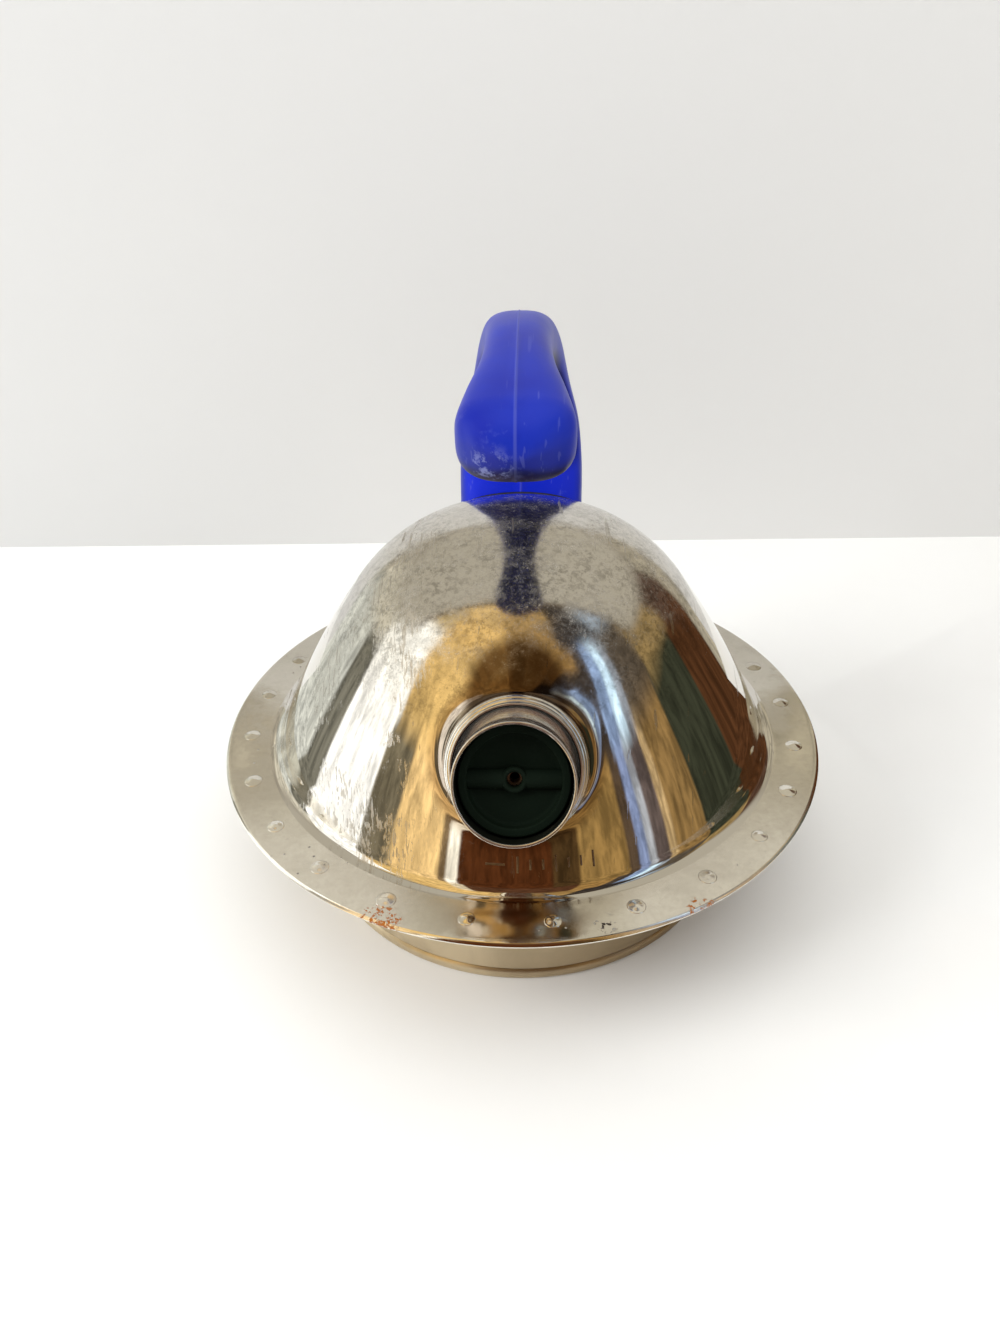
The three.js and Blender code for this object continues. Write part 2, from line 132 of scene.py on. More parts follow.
# Handle: centre line (y, rise above the flange), half width and half depth at each station, foot first
HANDLE_STATIONS = [
    (50, 50.5, 24.4, 14.5),
    (55, 68.5, 24.4, 14),
    (59.5, 85, 24.2, 12.5),
    (63.2, 101, 22.6, 11),
    (63.8, 115.5, 18.8, 10),
    (57.5, 128.5, 16, 9.6),
    (44.5, 137, 13.6, 9.6),
    (27, 141.6, 11.7, 9.8),
    (8, 142.4, 11.1, 10.4),
    (-11, 140.6, 12.4, 11.2),
    (-28, 137.6, 15.6, 12.4),
    (-43, 134.6, 17.9, 12.8),
    (-57, 132, 17.6, 12.3),
]
NOSE_SCUFF = (-9, -58, 184)
FOOT_SQUARENESS = 2.6  # powers of the section's outline: 2 is an ellipse, and more is squarer
NOSE_SQUARENESS = 3.3
NOSE_SHARE = 0.91  # share of the length at which the nose starts to close
SLOPE_STEP = 0.002  # share of the length, on each side, over which the handle's slope is taken
FOOT_SLOPE = 1.2  # sideways distance for each millimetre that the foot stands off the sloping dome
UNDER_SCALES = (0.3, 0.6, 0.85)  # rings of the foot's underside, as shares of its outline
PARTING_RIDGE = {"rise": 0.25, "angle": math.radians(0.35)}
GASKET = 1.5
GASKET_LIP = 0.8
GASKET_HOLE = 0.62  # share of its outline
SCREW_SEAT = 7.2  # from the column's middle to the face that the screw's head bears on
CUTTER_REACH = 30  # well past the rear of the grip
FOOT_LIMIT = 0.3  # share of the length within which the foot meets the dome
WASHER = {"radius": 4.5, "hole": 2.3, "thickness": 0.8, "round": 0.25}
SCREW_LEVELS = {"upper": 14, "lower": 2}
HANDLE_FOOT = {"y": 57.6, "rise": 78, "lean": math.radians(15.3)}

ROUND = 240  # segments about the kettle's axis
SPOUT_ROUND = 144
PLATE_ROUND = 96
FASTENER_ROUND = 64
BOSS_ROUND = 48
HANDLE_AROUND = 72
HANDLE_ALONG = 150

# ---------- outlines ----------
# An outline is a list of (radius, height). The outside lies to the left of its direction of travel.


def curve(steps, *controls):
    """Points of a Bezier curve, both ends included. Two control points give a straight line."""
    outline = []
    for i in range(steps + 1):
        share = i / steps
        points = controls
        while len(points) > 1:
            points = [tuple(a + (b - a) * share for a, b in zip(p, q)) for p, q in zip(points, points[1:])]
        outline.append(points[0])
    return outline


def arc(centre, radius, start, end, steps):
    """Points of an arc between two angles in degrees, both ends included."""
    angles = [math.radians(start + (end - start) * i / steps) for i in range(steps + 1)]
    return [(centre[0] + radius * math.cos(a), centre[1] + radius * math.sin(a)) for a in angles]


def rounded(corner, radius, start, end, steps):
    """The quarter arc that rounds a square corner, between two angles in degrees."""
    middle = math.radians((start + end) / 2)
    back = radius * math.sqrt(2)
    centre = (corner[0] - back * math.cos(middle), corner[1] - back * math.sin(middle))
    return arc(centre, radius, start, end, steps)


def join(*stretches):
    """One outline from stretches, without the points that repeat."""
    outline = []
    for here in (p for stretch in stretches for p in stretch):
        if not outline or math.dist(here, outline[-1]) > 1e-4:
            outline.append(here)
    return outline


def full_turn(count):
    """Angles evenly round a circle."""
    return [2 * math.pi * j / count for j in range(count)]


def round_axis(radius, turn, height):
    """A point by distance from the kettle's axis, angle from the spout and height."""
    return Vector((radius * math.sin(turn), -radius * math.cos(turn), height))


def furthest_inside(low, high, inside):
    """The largest value between two limits for which inside(value) still holds, by halving."""
    for _ in range(40):
        middle = (low + high) / 2
        if inside(middle):
            low = middle
        else:
            high = middle
    return (low + high) / 2


def dome_outline():
    """The outside of the dome from its crown to where the flange becomes flat."""
    crown = (0, FLANGE_HEIGHT + CROWN["rise"])
    shoulder = (SHOULDER["radius"], FLANGE_HEIGHT + SHOULDER["rise"])
    flank = (FLANK_CONTROL["radius"], FLANGE_HEIGHT + FLANK_CONTROL["rise"])
    foot = (FOOT["radius"], FLANGE_HEIGHT + FOOT["rise"])
    return join(
        curve(44, crown, (CROWN["control"], crown[1]), shoulder),
        curve(44, shoulder, flank, foot),
        curve(10, foot, (FOOT["control"], FLANGE_HEIGHT), (FOOT["flange_start"], FLANGE_HEIGHT)),
    )


DOME = dome_outline()


def read_off(pairs, first):
    """The second number that goes with a first one, in pairs whose first numbers fall."""
    for (a, b), (next_a, next_b) in zip(pairs, pairs[1:]):
        if next_a <= first <= a:
            return b + (next_b - b) * (a - first) / max(a - next_a, 1e-9)
    return 0 if first > pairs[0][0] else pairs[-1][1]


DOME_BY_HEIGHT = [(height, radius) for radius, height in DOME]


def dome_radius(height):
    """The dome's outer radius at a height."""
    return read_off(DOME_BY_HEIGHT, height)


# ---------- mesh building ----------


def new_loop(bm, points):
    """Vertices at points in millimetres."""
    return [bm.verts.new(p * MM) for p in points]


def add_loops(bm, loops, closed=False, material=0):
    """Faces between neighbouring loops of vertices. A loop of one vertex is a tip."""
    around = max(len(loop) for loop in loops)
    for upper, lower in zip(loops, loops[1:] + loops[:1] if closed else loops[1:]):
        for j in range(around):
            k = (j + 1) % around
            corners = [upper[j % len(upper)], lower[j % len(lower)]]
            corners += [lower[k % len(lower)], upper[k % len(upper)]]
            corners = list(dict.fromkeys(corners))
            if len(corners) > 2:
                bm.faces.new(corners).material_index = material


def add_lathe(bm, outline, place=Matrix(), segments=ROUND, closed=False, material=0):
    """An outline turned about the Z axis of a place."""
    loops = []
    for radius, height in outline:
        angles = full_turn(1 if radius < 1e-6 else segments)
        points = [Vector((radius * math.cos(a), radius * math.sin(a), height)) for a in angles]
        loops.append(new_loop(bm, [place @ p for p in points]))
    add_loops(bm, loops, closed, material)


def turned(outline, place=Matrix(), segments=ROUND, closed=False):
    """A build function for a piece that is one turned outline."""
    return lambda bm: add_lathe(bm, outline, place, segments, closed)


def weld(bm):
    bmesh.ops.remove_doubles(bm, verts=bm.verts, dist=1e-7)


def mesh_object(name, build):
    """A new object in the scene, with the mesh that build(bm) makes."""
    bm = bmesh.new()
    build(bm)
    mesh = bpy.data.meshes.new(name)
    bm.to_mesh(mesh)
    bm.free()
    made = bpy.data.objects.new(name, mesh)
    bpy.context.scene.collection.objects.link(made)
    return made


def make_piece(name, build, body, looks, replaces=(), thickness=0, crease=35):
    """A piece of the object that rides on a body. A thickness in millimetres goes inwards."""
    piece = mesh_object(name, build)
    piece.data.shade_smooth()
    piece.data.set_sharp_from_angle(angle=math.radians(crease))
    for look in looks:
        piece.data.materials.append(look)
    if thickness:
        wall = piece.modifiers.new("wall", "SOLIDIFY")
        wall.thickness = thickness * MM
        wall.offset = -1
        wall.use_even_offset = True
    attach(piece, body)
    if replaces:
        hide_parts(*replaces)
    return piece


# ---------- materials ----------


class Look:
    """A principled material, with short calls for the nodes that vary it over the surface.

    Places in these calls are metres, as the object's own are. Only near takes millimetres.
    """

    def __init__(self, name, colour, metallic, roughness, specular=0.5):
        self.material = bpy.data.materials.new(name)
        self.material.use_nodes = True
        self.tree = self.material.node_tree
        self.shader = self.tree.nodes["Principled BSDF"]
        self.shade("Base Color", (*colour, 1))
        self.shade("Metallic", metallic)
        self.shade("Roughness", roughness)
        self.shade("Specular IOR Level", specular)
        self.place = self.tree.nodes.new("ShaderNodeTexCoord").outputs["Object"]

    def node(self, kind, inputs=(), **settings):
        made = self.tree.nodes.new(kind)
        for key, value in settings.items():
            setattr(made, key, value)
        for key, value in dict(inputs).items():
            self.feed(made.inputs[key], value)
        return made

    def feed(self, socket, value):
        if isinstance(value, bpy.types.NodeSocket):
            self.tree.links.new(value, socket)
        else:
            socket.default_value = value

    def shade(self, socket, value):
        self.feed(self.shader.inputs[socket], value)

    def surface(self, shader):
        """Shows another shader in place of the principled one."""
        self.feed(self.tree.nodes["Material Output"].inputs["Surface"], shader)

    def glow(self, colour):
        return self.node("ShaderNodeEmission", {"Color": colour, "Strength": 1.0}).outputs["Emission"]

    def stretched(self, scale, turn=(0, 0, 0)):
        """The object's coordinates, turned and scaled, so that a texture draws out into streaks."""
        mapping = self.node("ShaderNodeMapping", {"Vector": self.place, "Rotation": turn, "Scale": scale})
        return mapping.outputs["Vector"]

    def noise(self, scale, detail=3, roughness=0.5, distortion=0, vector=None):
        inputs = {"Vector": vector or self.place, "Scale": scale, "Detail": detail}
        inputs |= {"Roughness": roughness, "Distortion": distortion}
        return self.node("ShaderNodeTexNoise", inputs).outputs["Fac"]

    def patches(self, scale, detail, roughness, low, high, to_low=0.0, to_high=1.0):
        """Noise held at one end below low and at the other above high, with a smooth edge between."""
        return self.between(self.noise(scale, detail, roughness), low, high, to_low, to_high)

    def spots(self, scale):
        """Distance from scattered points."""
        return self.node("ShaderNodeTexVoronoi", {"Vector": self.place, "Scale": scale}).outputs["Distance"]

    def near(self, place, reach, core=0.3):
        """1 round a place, as far as the core's share of the reach, and falling to 0 at the reach."""
        centre = tuple(c * MM for c in place)
        apart = self.node("ShaderNodeVectorMath", {0: self.place, 1: centre}, operation="DISTANCE")
        return self.between(apart.outputs["Value"], reach * MM, core * reach * MM)

    def between(self, value, low, high, to_low=0.0, to_high=1.0):
        """Value rescaled smoothly from low..high to to_low..to_high, and held there beyond."""
        inputs = {"Value": value, "From Min": low, "From Max": high, "To Min": to_low, "To Max": to_high}
        return self.node("ShaderNodeMapRange", inputs, interpolation_type="SMOOTHSTEP").outputs["Result"]

    def maths(self, operation, first, *others):
        """One operation, taken over as many values as are given."""
        for other in others or (0.0,):
            first = self.node("ShaderNodeMath", {0: first, 1: other}, operation=operation).outputs["Value"]
        return first

    def times(self, *values):
        return self.maths("MULTIPLY", *values)

    def plus(self, *values):
        return self.maths("ADD", *values)

    def most(self, *values):
        return self.maths("MAXIMUM", *values)

    def axis(self, letter):
        return self.node("ShaderNodeSeparateXYZ", {"Vector": self.place}).outputs[letter]

    def mix(self, share, first, second):
        """A colour that goes from first to second."""
        made = self.node("ShaderNodeMix", {"Factor": share}, data_type="RGBA")
        sockets = {s.identifier: s for s in made.inputs}
        for name, value in (("A_Color", first), ("B_Color", second)):
            self.feed(sockets[name], value if isinstance(value, bpy.types.NodeSocket) else (*value, 1))
        return next(s for s in made.outputs if s.identifier == "Result_Color")

    def finish(self, colour, roughness, *bumps):
        """Feeds the colour, the roughness and the bumps, each a height and its depth in millimetres."""
        self.shade("Base Color", colour)
        self.shade("Roughness", roughness)
        normal = None
        for height, depth in bumps:
            made = self.node("ShaderNodeBump", {"Height": height, "Distance": depth * MM, "Strength": 1.0})
            if normal:
                self.feed(made.inputs["Normal"], normal)
            normal = made.outputs["Normal"]
        self.shade("Normal", normal)
        return self.material


def hairlines(look, scale, turns, thin):
    """Fine scratches in several directions, from 0 to 1."""
    layers = []
    for turn in turns:
        streaks = look.noise(scale, 2, 0.6, 0.2, look.stretched((1, 0.05, 0.22), turn))
        layers.append(look.between(streaks, thin, thin + 0.04))
    return look.most(*layers)


def limescale(look, ragged_height):
    """A hazy film with specks in it, from 0 below to its thickest at the crown."""
    blotches = look.patches(110, 7, 0.75, 0.47, 0.62)
    speckle = look.patches(800, 4, 0.75, 0.53, 0.64)
    film = look.plus(0.13, look.times(blotches, 0.26), look.times(speckle, 0.26))
    return look.times(film, look.between(ragged_height, 0.112, 0.13))


def scouring(look):
    """Scratches where one flank was scoured, and a few stray ones all over."""
    side = look.between(look.axis("X"), -0.018, -0.045)
    patches = look.patches(45, 5, 0.7, 0.46, 0.6)
    turns = [(0.3, 0.2, 0.4), (1.1, 0.5, 2.0), (0.2, 1.3, 1.1), (0.9, 0.1, 2.7)]
    scratches = hairlines(look, 900, turns, 0.6)
    stray = hairlines(look, 420, [(0.5, 0.9, 0.2), (1.4, 0.3, 1.6)], 0.69)
    scoured = look.times(look.plus(scratches, look.times(patches, 0.25)), side, patches)
    return look.most(scoured, look.times(stray, 0.6))


def polished_steel(name, haze=1.0, stain=1.0, dullness=0.0):
    """Mirror steel, hazy and speckled with limescale towards the crown, and scoured on one flank.

    Haze and stain are the strengths of the limescale and of the brown stains round the spout. The
    dullness is the share of light that it scatters everywhere.
    """
    look = Look(name, (0.74, 0.71, 0.66), 1.0, 0.05)
    ragged_height = look.plus(look.axis("Z"), look.patches(70, 4, 0.6, 0.3, 0.7, -0.007, 0.007))
    lime = limescale(look, ragged_height)
    clouds = look.patches(60, 6, 0.75, 0.4, 0.62, 0.35, 1.0)
    mottle = look.times(clouds, look.between(ragged_height, 0.098, 0.116))
    marks = scouring(look)
    wear = look.plus(look.times(lime, 0.34), look.times(mottle, 0.07), look.times(marks, 0.32))
    roughness = look.plus(look.patches(900, 2, 0.6, 0.3, 0.7, 0.03, 0.06), look.times(wear, haze))
    tarnish = look.times(look.patches(16, 3, 0.5, 0.4, 0.7), 0.6)
    steel = look.mix(tarnish, (0.76, 0.73, 0.68), (0.7, 0.66, 0.58))
    steel = look.mix(look.times(marks, 0.35), steel, (0.4, 0.38, 0.34))
    spotting = look.times(mottle, look.patches(420, 5, 0.8, 0.44, 0.6), 0.85 * haze)
    steel = look.mix(spotting, steel, (0.36, 0.34, 0.3))
    steel = look.mix(look.times(look.near(NECK_STAIN, 31, 0.84), 0.62 * stain), steel, (0.3, 0.2, 0.11))
    thin = look.patches(120, 4, 0.6, 0.3, 0.7, -0.06, 0.0)
    boiled = look.most(look.plus(look.near(BOILED_OVER, 22, 0.72), thin), 0.0)
    steel = look.mix(look.times(boiled, stain), steel, (0.1, 0.062, 0.036))
    colour = look.mix(look.times(lime, 0.75 * haze), steel, (0.46, 0.43, 0.38))
    shiny = 1.0 - dullness
    look.shade("Metallic", look.between(lime, 0, 1, shiny, shiny - 0.3 * haze))
    waves = look.noise(26, 2, 0.45)
    return look.finish(colour, roughness, (waves, 0.1), (look.times(marks, -1.0), 0.008), (lime, 0.008))


def spout_inside():
    """The bore of the spout: near-black painted shade right up to the lip, with patches of pale scale."""
    # painted shade: the bore's steel is near-black
    look = Look("spout_inside", (0.012, 0.014, 0.011), 0.2, 0.6, 0.15)
    scale = look.patches(160, 5, 0.65, 0.5, 0.75)
    colour = look.mix(look.times(scale, 0.3), (0.01, 0.012, 0.009), (0.06, 0.055, 0.045))
    roughness = look.between(scale, 0, 1, 0.5, 0.75)
    return look.finish(colour, roughness, (scale, 0.03))


def satin_flange():
    """The flange: steel with grey mottling, dark pits and a little rust at its edge.

    It is darker towards the rear, a painted shade, and dull in front on both sides of the spout.
    """
    look = Look("flange_steel", (0.7, 0.66, 0.58), 1.0, 0.2)
    mottle = look.between(look.noise(48, 6, 0.7, 0.2), 0.38, 0.66)
    fine = look.noise(420, 4, 0.7)
    pits = look.between(look.spots(260), 0.15, 0.07)
    pitting = look.times(pits, look.patches(22, 2, 0.5, 0.56, 0.66))
    specks = look.times(look.near(RIM_SPECKS, 5), look.patches(420, 2, 0.5, 0.57, 0.6))
    dark = look.most(look.times(pitting, 0.8), specks)
    roughness = look.plus(look.between(mottle, 0, 1, 0.11, 0.22), look.times(dark, 0.4))
    steel = look.mix(look.times(mottle, 0.6), (0.88, 0.84, 0.75), (0.72, 0.68, 0.6))
    steel = look.mix(look.between(fine, 0.35, 0.8, 0.0, 0.3), steel, (0.6, 0.56, 0.49))
    # painted shade: the steel is darker towards the rear
    rear = look.between(look.axis("Y"), -0.04, 0.05)
    steel = look.mix(look.times(rear, 0.6), steel, (0.4, 0.36, 0.29))
    steel = look.mix(dark, steel, (0.03, 0.022, 0.015))
    places = look.most(look.near(RIM_RUST, 9), look.times(look.near(RIM_RUST_RIGHT, 7), 0.6))
    grains = look.plus(look.noise(520, 4, 0.75), look.times(places, 0.1))
    rust = look.times(look.between(grains, 0.595, 0.615), look.between(places, 0.0, 0.2))
    colour = look.mix(rust, steel, (0.36, 0.105, 0.014))
    beside = look.between(look.maths("ABSOLUTE", look.axis("X")), 0.022, 0.042)
    film = look.times(beside, look.between(look.axis("Y"), -0.03, -0.08, 0.0, 0.3))
    dull = look.most(look.plus(rust, dark), film)
    look.shade("Metallic", look.between(dull, 0, 1, 1.0, 0.0))
    waves = look.noise(24, 2)
    pressed = look.times(dark, -1.0)
    return look.finish(colour, roughness, (waves, 0.11), (fine, 0.005), (pressed, 0.08), (rust, 0.06))


def satin_pan():
    """The pan and its base: satin steel with faint rings left by the spinning, and painted shade that makes
    it darker and browner on the right.
    """
    look = Look("pan_steel", (0.64, 0.59, 0.48), 1.0, 0.36)
    rings = look.noise(300, 2, 0.5, 0.1, look.stretched((0.05, 0.05, 4)))
    smears = look.noise(30, 5, 0.6, 0.5)
    roughness = look.plus(look.between(smears, 0.3, 0.7, 0.3, 0.42), look.times(rings, 0.05))
    # painted shade: the steel grows darker and browner towards the right
    right = look.between(look.axis("X"), -0.045, 0.06)
    steel = look.mix(right, (0.72, 0.62, 0.44), (0.38, 0.28, 0.16))
    colour = look.mix(look.times(look.between(smears, 0.35, 0.7), 0.45), steel, (0.32, 0.26, 0.17))
    return look.finish(colour, roughness, (rings, 0.012), (look.noise(700, 2), 0.004))


def base_steel():
    """The underside: brushed in circles, browned and scratched by the hob."""
    look = Look("base_steel", (0.56, 0.55, 0.52), 1.0, 0.4)
    x, y = look.axis("X"), look.axis("Y")
    radius = look.maths("SQRT", look.plus(look.times(x, x), look.times(y, y)))
    circles = look.node("ShaderNodeCombineXYZ", {"X": radius}).outputs["Vector"]
    brushing = look.noise(1800, 3, 0.6, 0, circles)
    heat = look.between(look.noise(28, 4, 0.6, 0.4), 0.45, 0.7)
    scratches = hairlines(look, 420, [(0, 0, 0.5), (0, 0, 1.7), (0, 0, 2.6)], 0.64)
    roughness = look.plus(look.between(brushing, 0.3, 0.7, 0.3, 0.46), look.times(scratches, 0.1))
    colour = look.mix(look.times(heat, 0.7), (0.6, 0.59, 0.56), (0.4, 0.33, 0.24))
    return look.finish(colour, roughness, (brushing, 0.02), (look.times(scratches, -1.0), 0.02))


def blue_plastic():
    """The handle: satin moulded plastic with a knocked nose, and a painted highlight along its parting
    line.

    Its undersides and the inside of the C above the column's lowest part are darkened with painted shade,
    and that lowest part is a brighter blue, painted light.
    """
    look = Look("handle_blue", (0.004, 0.018, 0.36), 0.0, 0.38, 0.3)
    cloud = look.noise(34, 4, 0.55)
    scuffs = hairlines(look, 520, [(0.4, 0.1, 0.9), (1.2, 0.7, 0.2)], 0.67)
    worn = look.patches(90, 5, 0.7, 0.6, 0.72)
    knocks = look.times(look.near(NOSE_SCUFF, 13), look.patches(240, 4, 0.75, 0.48, 0.62))
    # painted highlight: a paler line along the parting line
    seam_highlight = look.between(look.maths("ABSOLUTE", look.axis("X")), 0.0007, 0.0002)
    wear = look.times(look.plus(worn, scuffs), 0.1)
    marks = look.most(wear, look.times(knocks, 0.6), look.times(seam_highlight, 0.12))
    body = look.mix(look.between(cloud, 0.3, 0.7), (0.003, 0.014, 0.33), (0.006, 0.024, 0.4))
    normal = look.node("ShaderNodeNewGeometry").outputs["Normal"]
    facing = look.node("ShaderNodeSeparateXYZ", {"Vector": normal}).outputs
    column = look.times(look.between(facing["Y"], -0.35, -0.8), look.between(look.axis("Y"), 0.025, 0.04))
    upper = look.between(look.axis("Z"), 0.14, 0.152)
    # painted light: the lowest part of the column's face inside the C is a brighter, more vivid blue
    body = look.mix(look.times(column, look.between(upper, 1, 0)), body, (0.002, 0.02, 0.66))
    # painted shade: surfaces that face down, and the inside of the C above the column's lowest part, go
    # dark navy
    painted_shade = look.most(look.between(facing["Z"], 0.05, -0.6), look.times(column, upper))
    body = look.mix(look.times(painted_shade, 0.9), body, (0.001, 0.002, 0.03))
    colour = look.mix(marks, body, (0.3, 0.34, 0.66))
    roughness = look.plus(look.between(cloud, 0.3, 0.7, 0.34, 0.42), look.times(marks, 0.4))
    grain = look.noise(1500, 2, 0.6)
    waves = look.noise(40, 2)
    return look.finish(colour, roughness, (grain, 0.01), (look.times(scuffs, -1.0), 0.01), (waves, 0.05))


def black_plastic():
    """The whistle's body: dull heat-resistant plastic with a trace of limescale."""
    look = Look("whistle_black", (0.006, 0.011, 0.007), 0.0, 0.75, 0.08)
    grain = look.noise(1400, 2, 0.6)
    lime = look.patches(150, 5, 0.7, 0.62, 0.78)
    colour = look.mix(look.times(lime, 0.05), (0.006, 0.011, 0.007), (0.1, 0.1, 0.09))
    roughness = look.between(grain, 0.3, 0.7, 0.68, 0.82)
    return look.finish(colour, roughness, (grain, 0.02))


def silicone():
    """Dull dark rubber with a dusty bloom."""
    look = Look("seal_silicone", (0.035, 0.036, 0.04), 0.0, 0.75)
    dust = look.patches(240, 4, 0.6, 0.45, 0.75)
    colour = look.mix(look.times(dust, 0.3), (0.03, 0.031, 0.036), (0.12, 0.12, 0.12))
    roughness = look.between(dust, 0, 1, 0.68, 0.85)
    return look.finish(colour, roughness, (look.noise(900, 2), 0.02))


def plain_metal(name, colour, roughness):
    """Small metal parts, with a fine grain and faint stains."""
    look = Look(name, colour, 1.0, roughness)
    grain = look.noise(600, 3, 0.6)
    stains = look.patches(110, 4, 0.6, 0.5, 0.75)
    colour = look.mix(look.times(stains, 0.5), colour, tuple(0.6 * c for c in colour))
    roughness = look.between(grain, 0.3, 0.7, roughness - 0.06, roughness + 0.08)
    return look.finish(colour, roughness, (grain, 0.008))


def stamped_steel():
    """The ridge of the stamped level mark, browner and duller than the steel round it."""
    look = Look("stamped_steel", (0.3, 0.24, 0.18), 1.0, 0.5)
    grain = look.noise(900, 3, 0.6)
    colour = look.mix(grain, (0.22, 0.17, 0.13), (0.4, 0.33, 0.25))
    roughness = look.between(grain, 0.3, 0.7, 0.4, 0.6)
    return look.finish(colour, roughness, (grain, 0.01))


STEEL = polished_steel("dome_steel")
SPOUT_STEEL = polished_steel("spout_steel", haze=0.5, stain=0.0, dullness=0.08)
BORE = spout_inside()
FLANGE = satin_flange()
PAN = satin_pan()
BASE = base_steel()
BLUE = blue_plastic()
BLACK = black_plastic()
SILICONE = silicone()
ALUMINIUM = plain_metal("spreader_aluminium", (0.7, 0.71, 0.72), 0.42)
WHISTLE_STEEL = plain_metal("whistle_steel", (0.62, 0.62, 0.6), 0.3)
ZINC = plain_metal("fastener_steel", (0.6, 0.6, 0.6), 0.34)
STAMPED = stamped_steel()

# ---------- dome ----------

spout_axis = Vector(frame["joints"][0]["axis"])
UP = Vector((0, 0, 1))
SPOUT = Matrix.Translation((0, 0, SPOUT_START)) @ UP.rotation_difference(spout_axis).to_matrix().to_4x4()
FROM_SPOUT = SPOUT.inverted()


def in_spout(radius, angle, along):
    """A point by distance from the spout's axis, angle round it and distance along it."""
    return SPOUT @ Vector((radius * math.cos(angle), radius * math.sin(angle), along))


def dome_along(radius, angle):
    """How far along the spout the dome's surface lies, at a distance and angle from the spout's axis."""

    def inside(along):
        here = in_spout(radius, angle, along)
        return math.hypot(here.x, here.y) < dome_radius(here.z)

    return furthest_inside(*DOME_SPAN, inside)


def flare_radius(angle):
    """The flare runs out further above the spout than beside and below it."""
    above = max(0.0, math.sin(angle)) ** 2
    return FLARE_SIDE + (FLARE_TOP - FLARE_SIDE) * above


def neck_section(angle):
    """The (radius, along) curve from the dome up into the neck, at one angle round the spout.

    It laps a hair above the dome and then ducks under it, and leaves it with no bend at all, so that
    the two read as one skin.
    """
    reach = flare_radius(angle)
    edge = dome_along(reach, angle)
    slope = (dome_along(reach + SLOPE_REACH, angle) - edge) / SLOPE_REACH
    lap = [(reach + over, dome_along(reach + over, angle) + rise) for over, rise in FLARE_LAP]
    start = (reach, edge + FLARE_PROUD)
    corner = (NECK["radius"], edge + slope * (NECK["radius"] - reach))
    middle = tuple((a + b) / 2 for a, b in zip(start, corner))
    top = (NECK["radius"], NECK["flare_end"])
    return join(lap, curve(30, start, middle, corner, top), curve(3, top, (NECK["radius"], NECK["end"])))


def flare_rise(radius, angle):
    """How far the flare stands above the dome, measured along the spout."""
    if radius >= flare_radius(angle):
        return 0
    return read_off(neck_section(angle), radius) - dome_along(radius, angle)


def add_neck(bm):
    sections = []
    for angle in full_turn(SPOUT_ROUND):
        sections.append(new_loop(bm, [in_spout(r, angle, t) for r, t in neck_section(angle)]))
    loops = [list(loop) for loop in zip(*sections)]
    add_loops(bm, loops[::-1])


def cut_spout_hole(bm):
    """Clears the dome under the neck, well inside the flare's edge."""
    doomed = []
    for face in bm.faces:
        here = FROM_SPOUT @ (face.calc_center_median() / MM)
        radius = math.hypot(here.x, here.y)
        if here.z > 0 and radius < flare_radius(math.atan2(here.y, here.x)) - HOLE_MARGIN:
            doomed.append(face)
    bmesh.ops.delete(bm, geom=doomed, context="FACES")


def flange_outline():
    centre = (FLANGE_RADIUS - HEM_RADIUS, FLANGE_HEIGHT - HEM_RADIUS)
    return join(
        curve(12, (FOOT["flange_start"], FLANGE_HEIGHT), (centre[0], FLANGE_HEIGHT)),
        arc(centre, HEM_RADIUS, 90, -90, 14),
        [(centre[0] - HEM_TUCK, FLANGE_HEIGHT - 2 * HEM_RADIUS)],
    )


def add_bumps(bm):
    """Pressed bumps round the flange, none quite like its neighbour."""
    draw = random.Random(7)
    for turn in full_turn(BUMP_COUNT):
        angle = BUMP_PHASE + turn + draw.uniform(-0.006, 0.006)
        radius = BUMP_RADIUS * draw.uniform(0.9, 1.1)
        rise = BUMP_RISE * draw.uniform(0.75, 1.1)
        shares = [s / BUMP_STEPS for s in range(BUMP_STEPS + 1)]
        bell = [(radius * s, BUMP_FOOT + rise * (1 + math.cos(math.pi * s)) / 2) for s in shares]
        place = Matrix.Translation(round_axis(BUMP_CIRCLE, angle, FLANGE_HEIGHT))
        add_lathe(bm, bell, place, BUMP_ROUND, material=1)


def build_dome(bm):
    add_lathe(bm, DOME)
    cut_spout_hole(bm)
    add_neck(bm)
    add_lathe(bm, flange_outline(), material=1)
    weld(bm)
    add_bumps(bm)


def on_dome(azimuth, height, proud):
    """A point on the dome or on the flare that covers it, by degrees from the spout and height."""
    here = FROM_SPOUT @ round_axis(dome_radius(height) + proud, math.radians(azimuth), height)
    here.z += flare_rise(math.hypot(here.x, here.y), math.atan2(here.y, here.x))
    return SPOUT @ here


def add_stroke(bm, start, end):
    """A narrow ridge along the dome between two (azimuth, rise) places."""
    upright = start[0] == end[0]
    half = LEVEL_MARK["width"] / 2
    rows = ([], [], [])
    for azimuth, rise in curve(12, start, end):
        height = FLANGE_HEIGHT + rise
        for side, row in zip((-1, 0, 1), rows):
            turn = side * math.degrees(half / dome_radius(height)) if upright else 0
            lift = 0 if upright else side * half
            proud = LEVEL_MARK["foot"] if side else LEVEL_MARK["ridge"]
            row += new_loop(bm, [on_dome(azimuth + turn, height + lift, proud)])
    for low, high in zip(rows, rows[1:]):
        for i in range(len(low) - 1):
            face = bm.faces.new([low[i], low[i + 1], high[i + 1], high[i]])
            face.normal_update()
            if face.normal.y > 0:
                face.normal_flip()


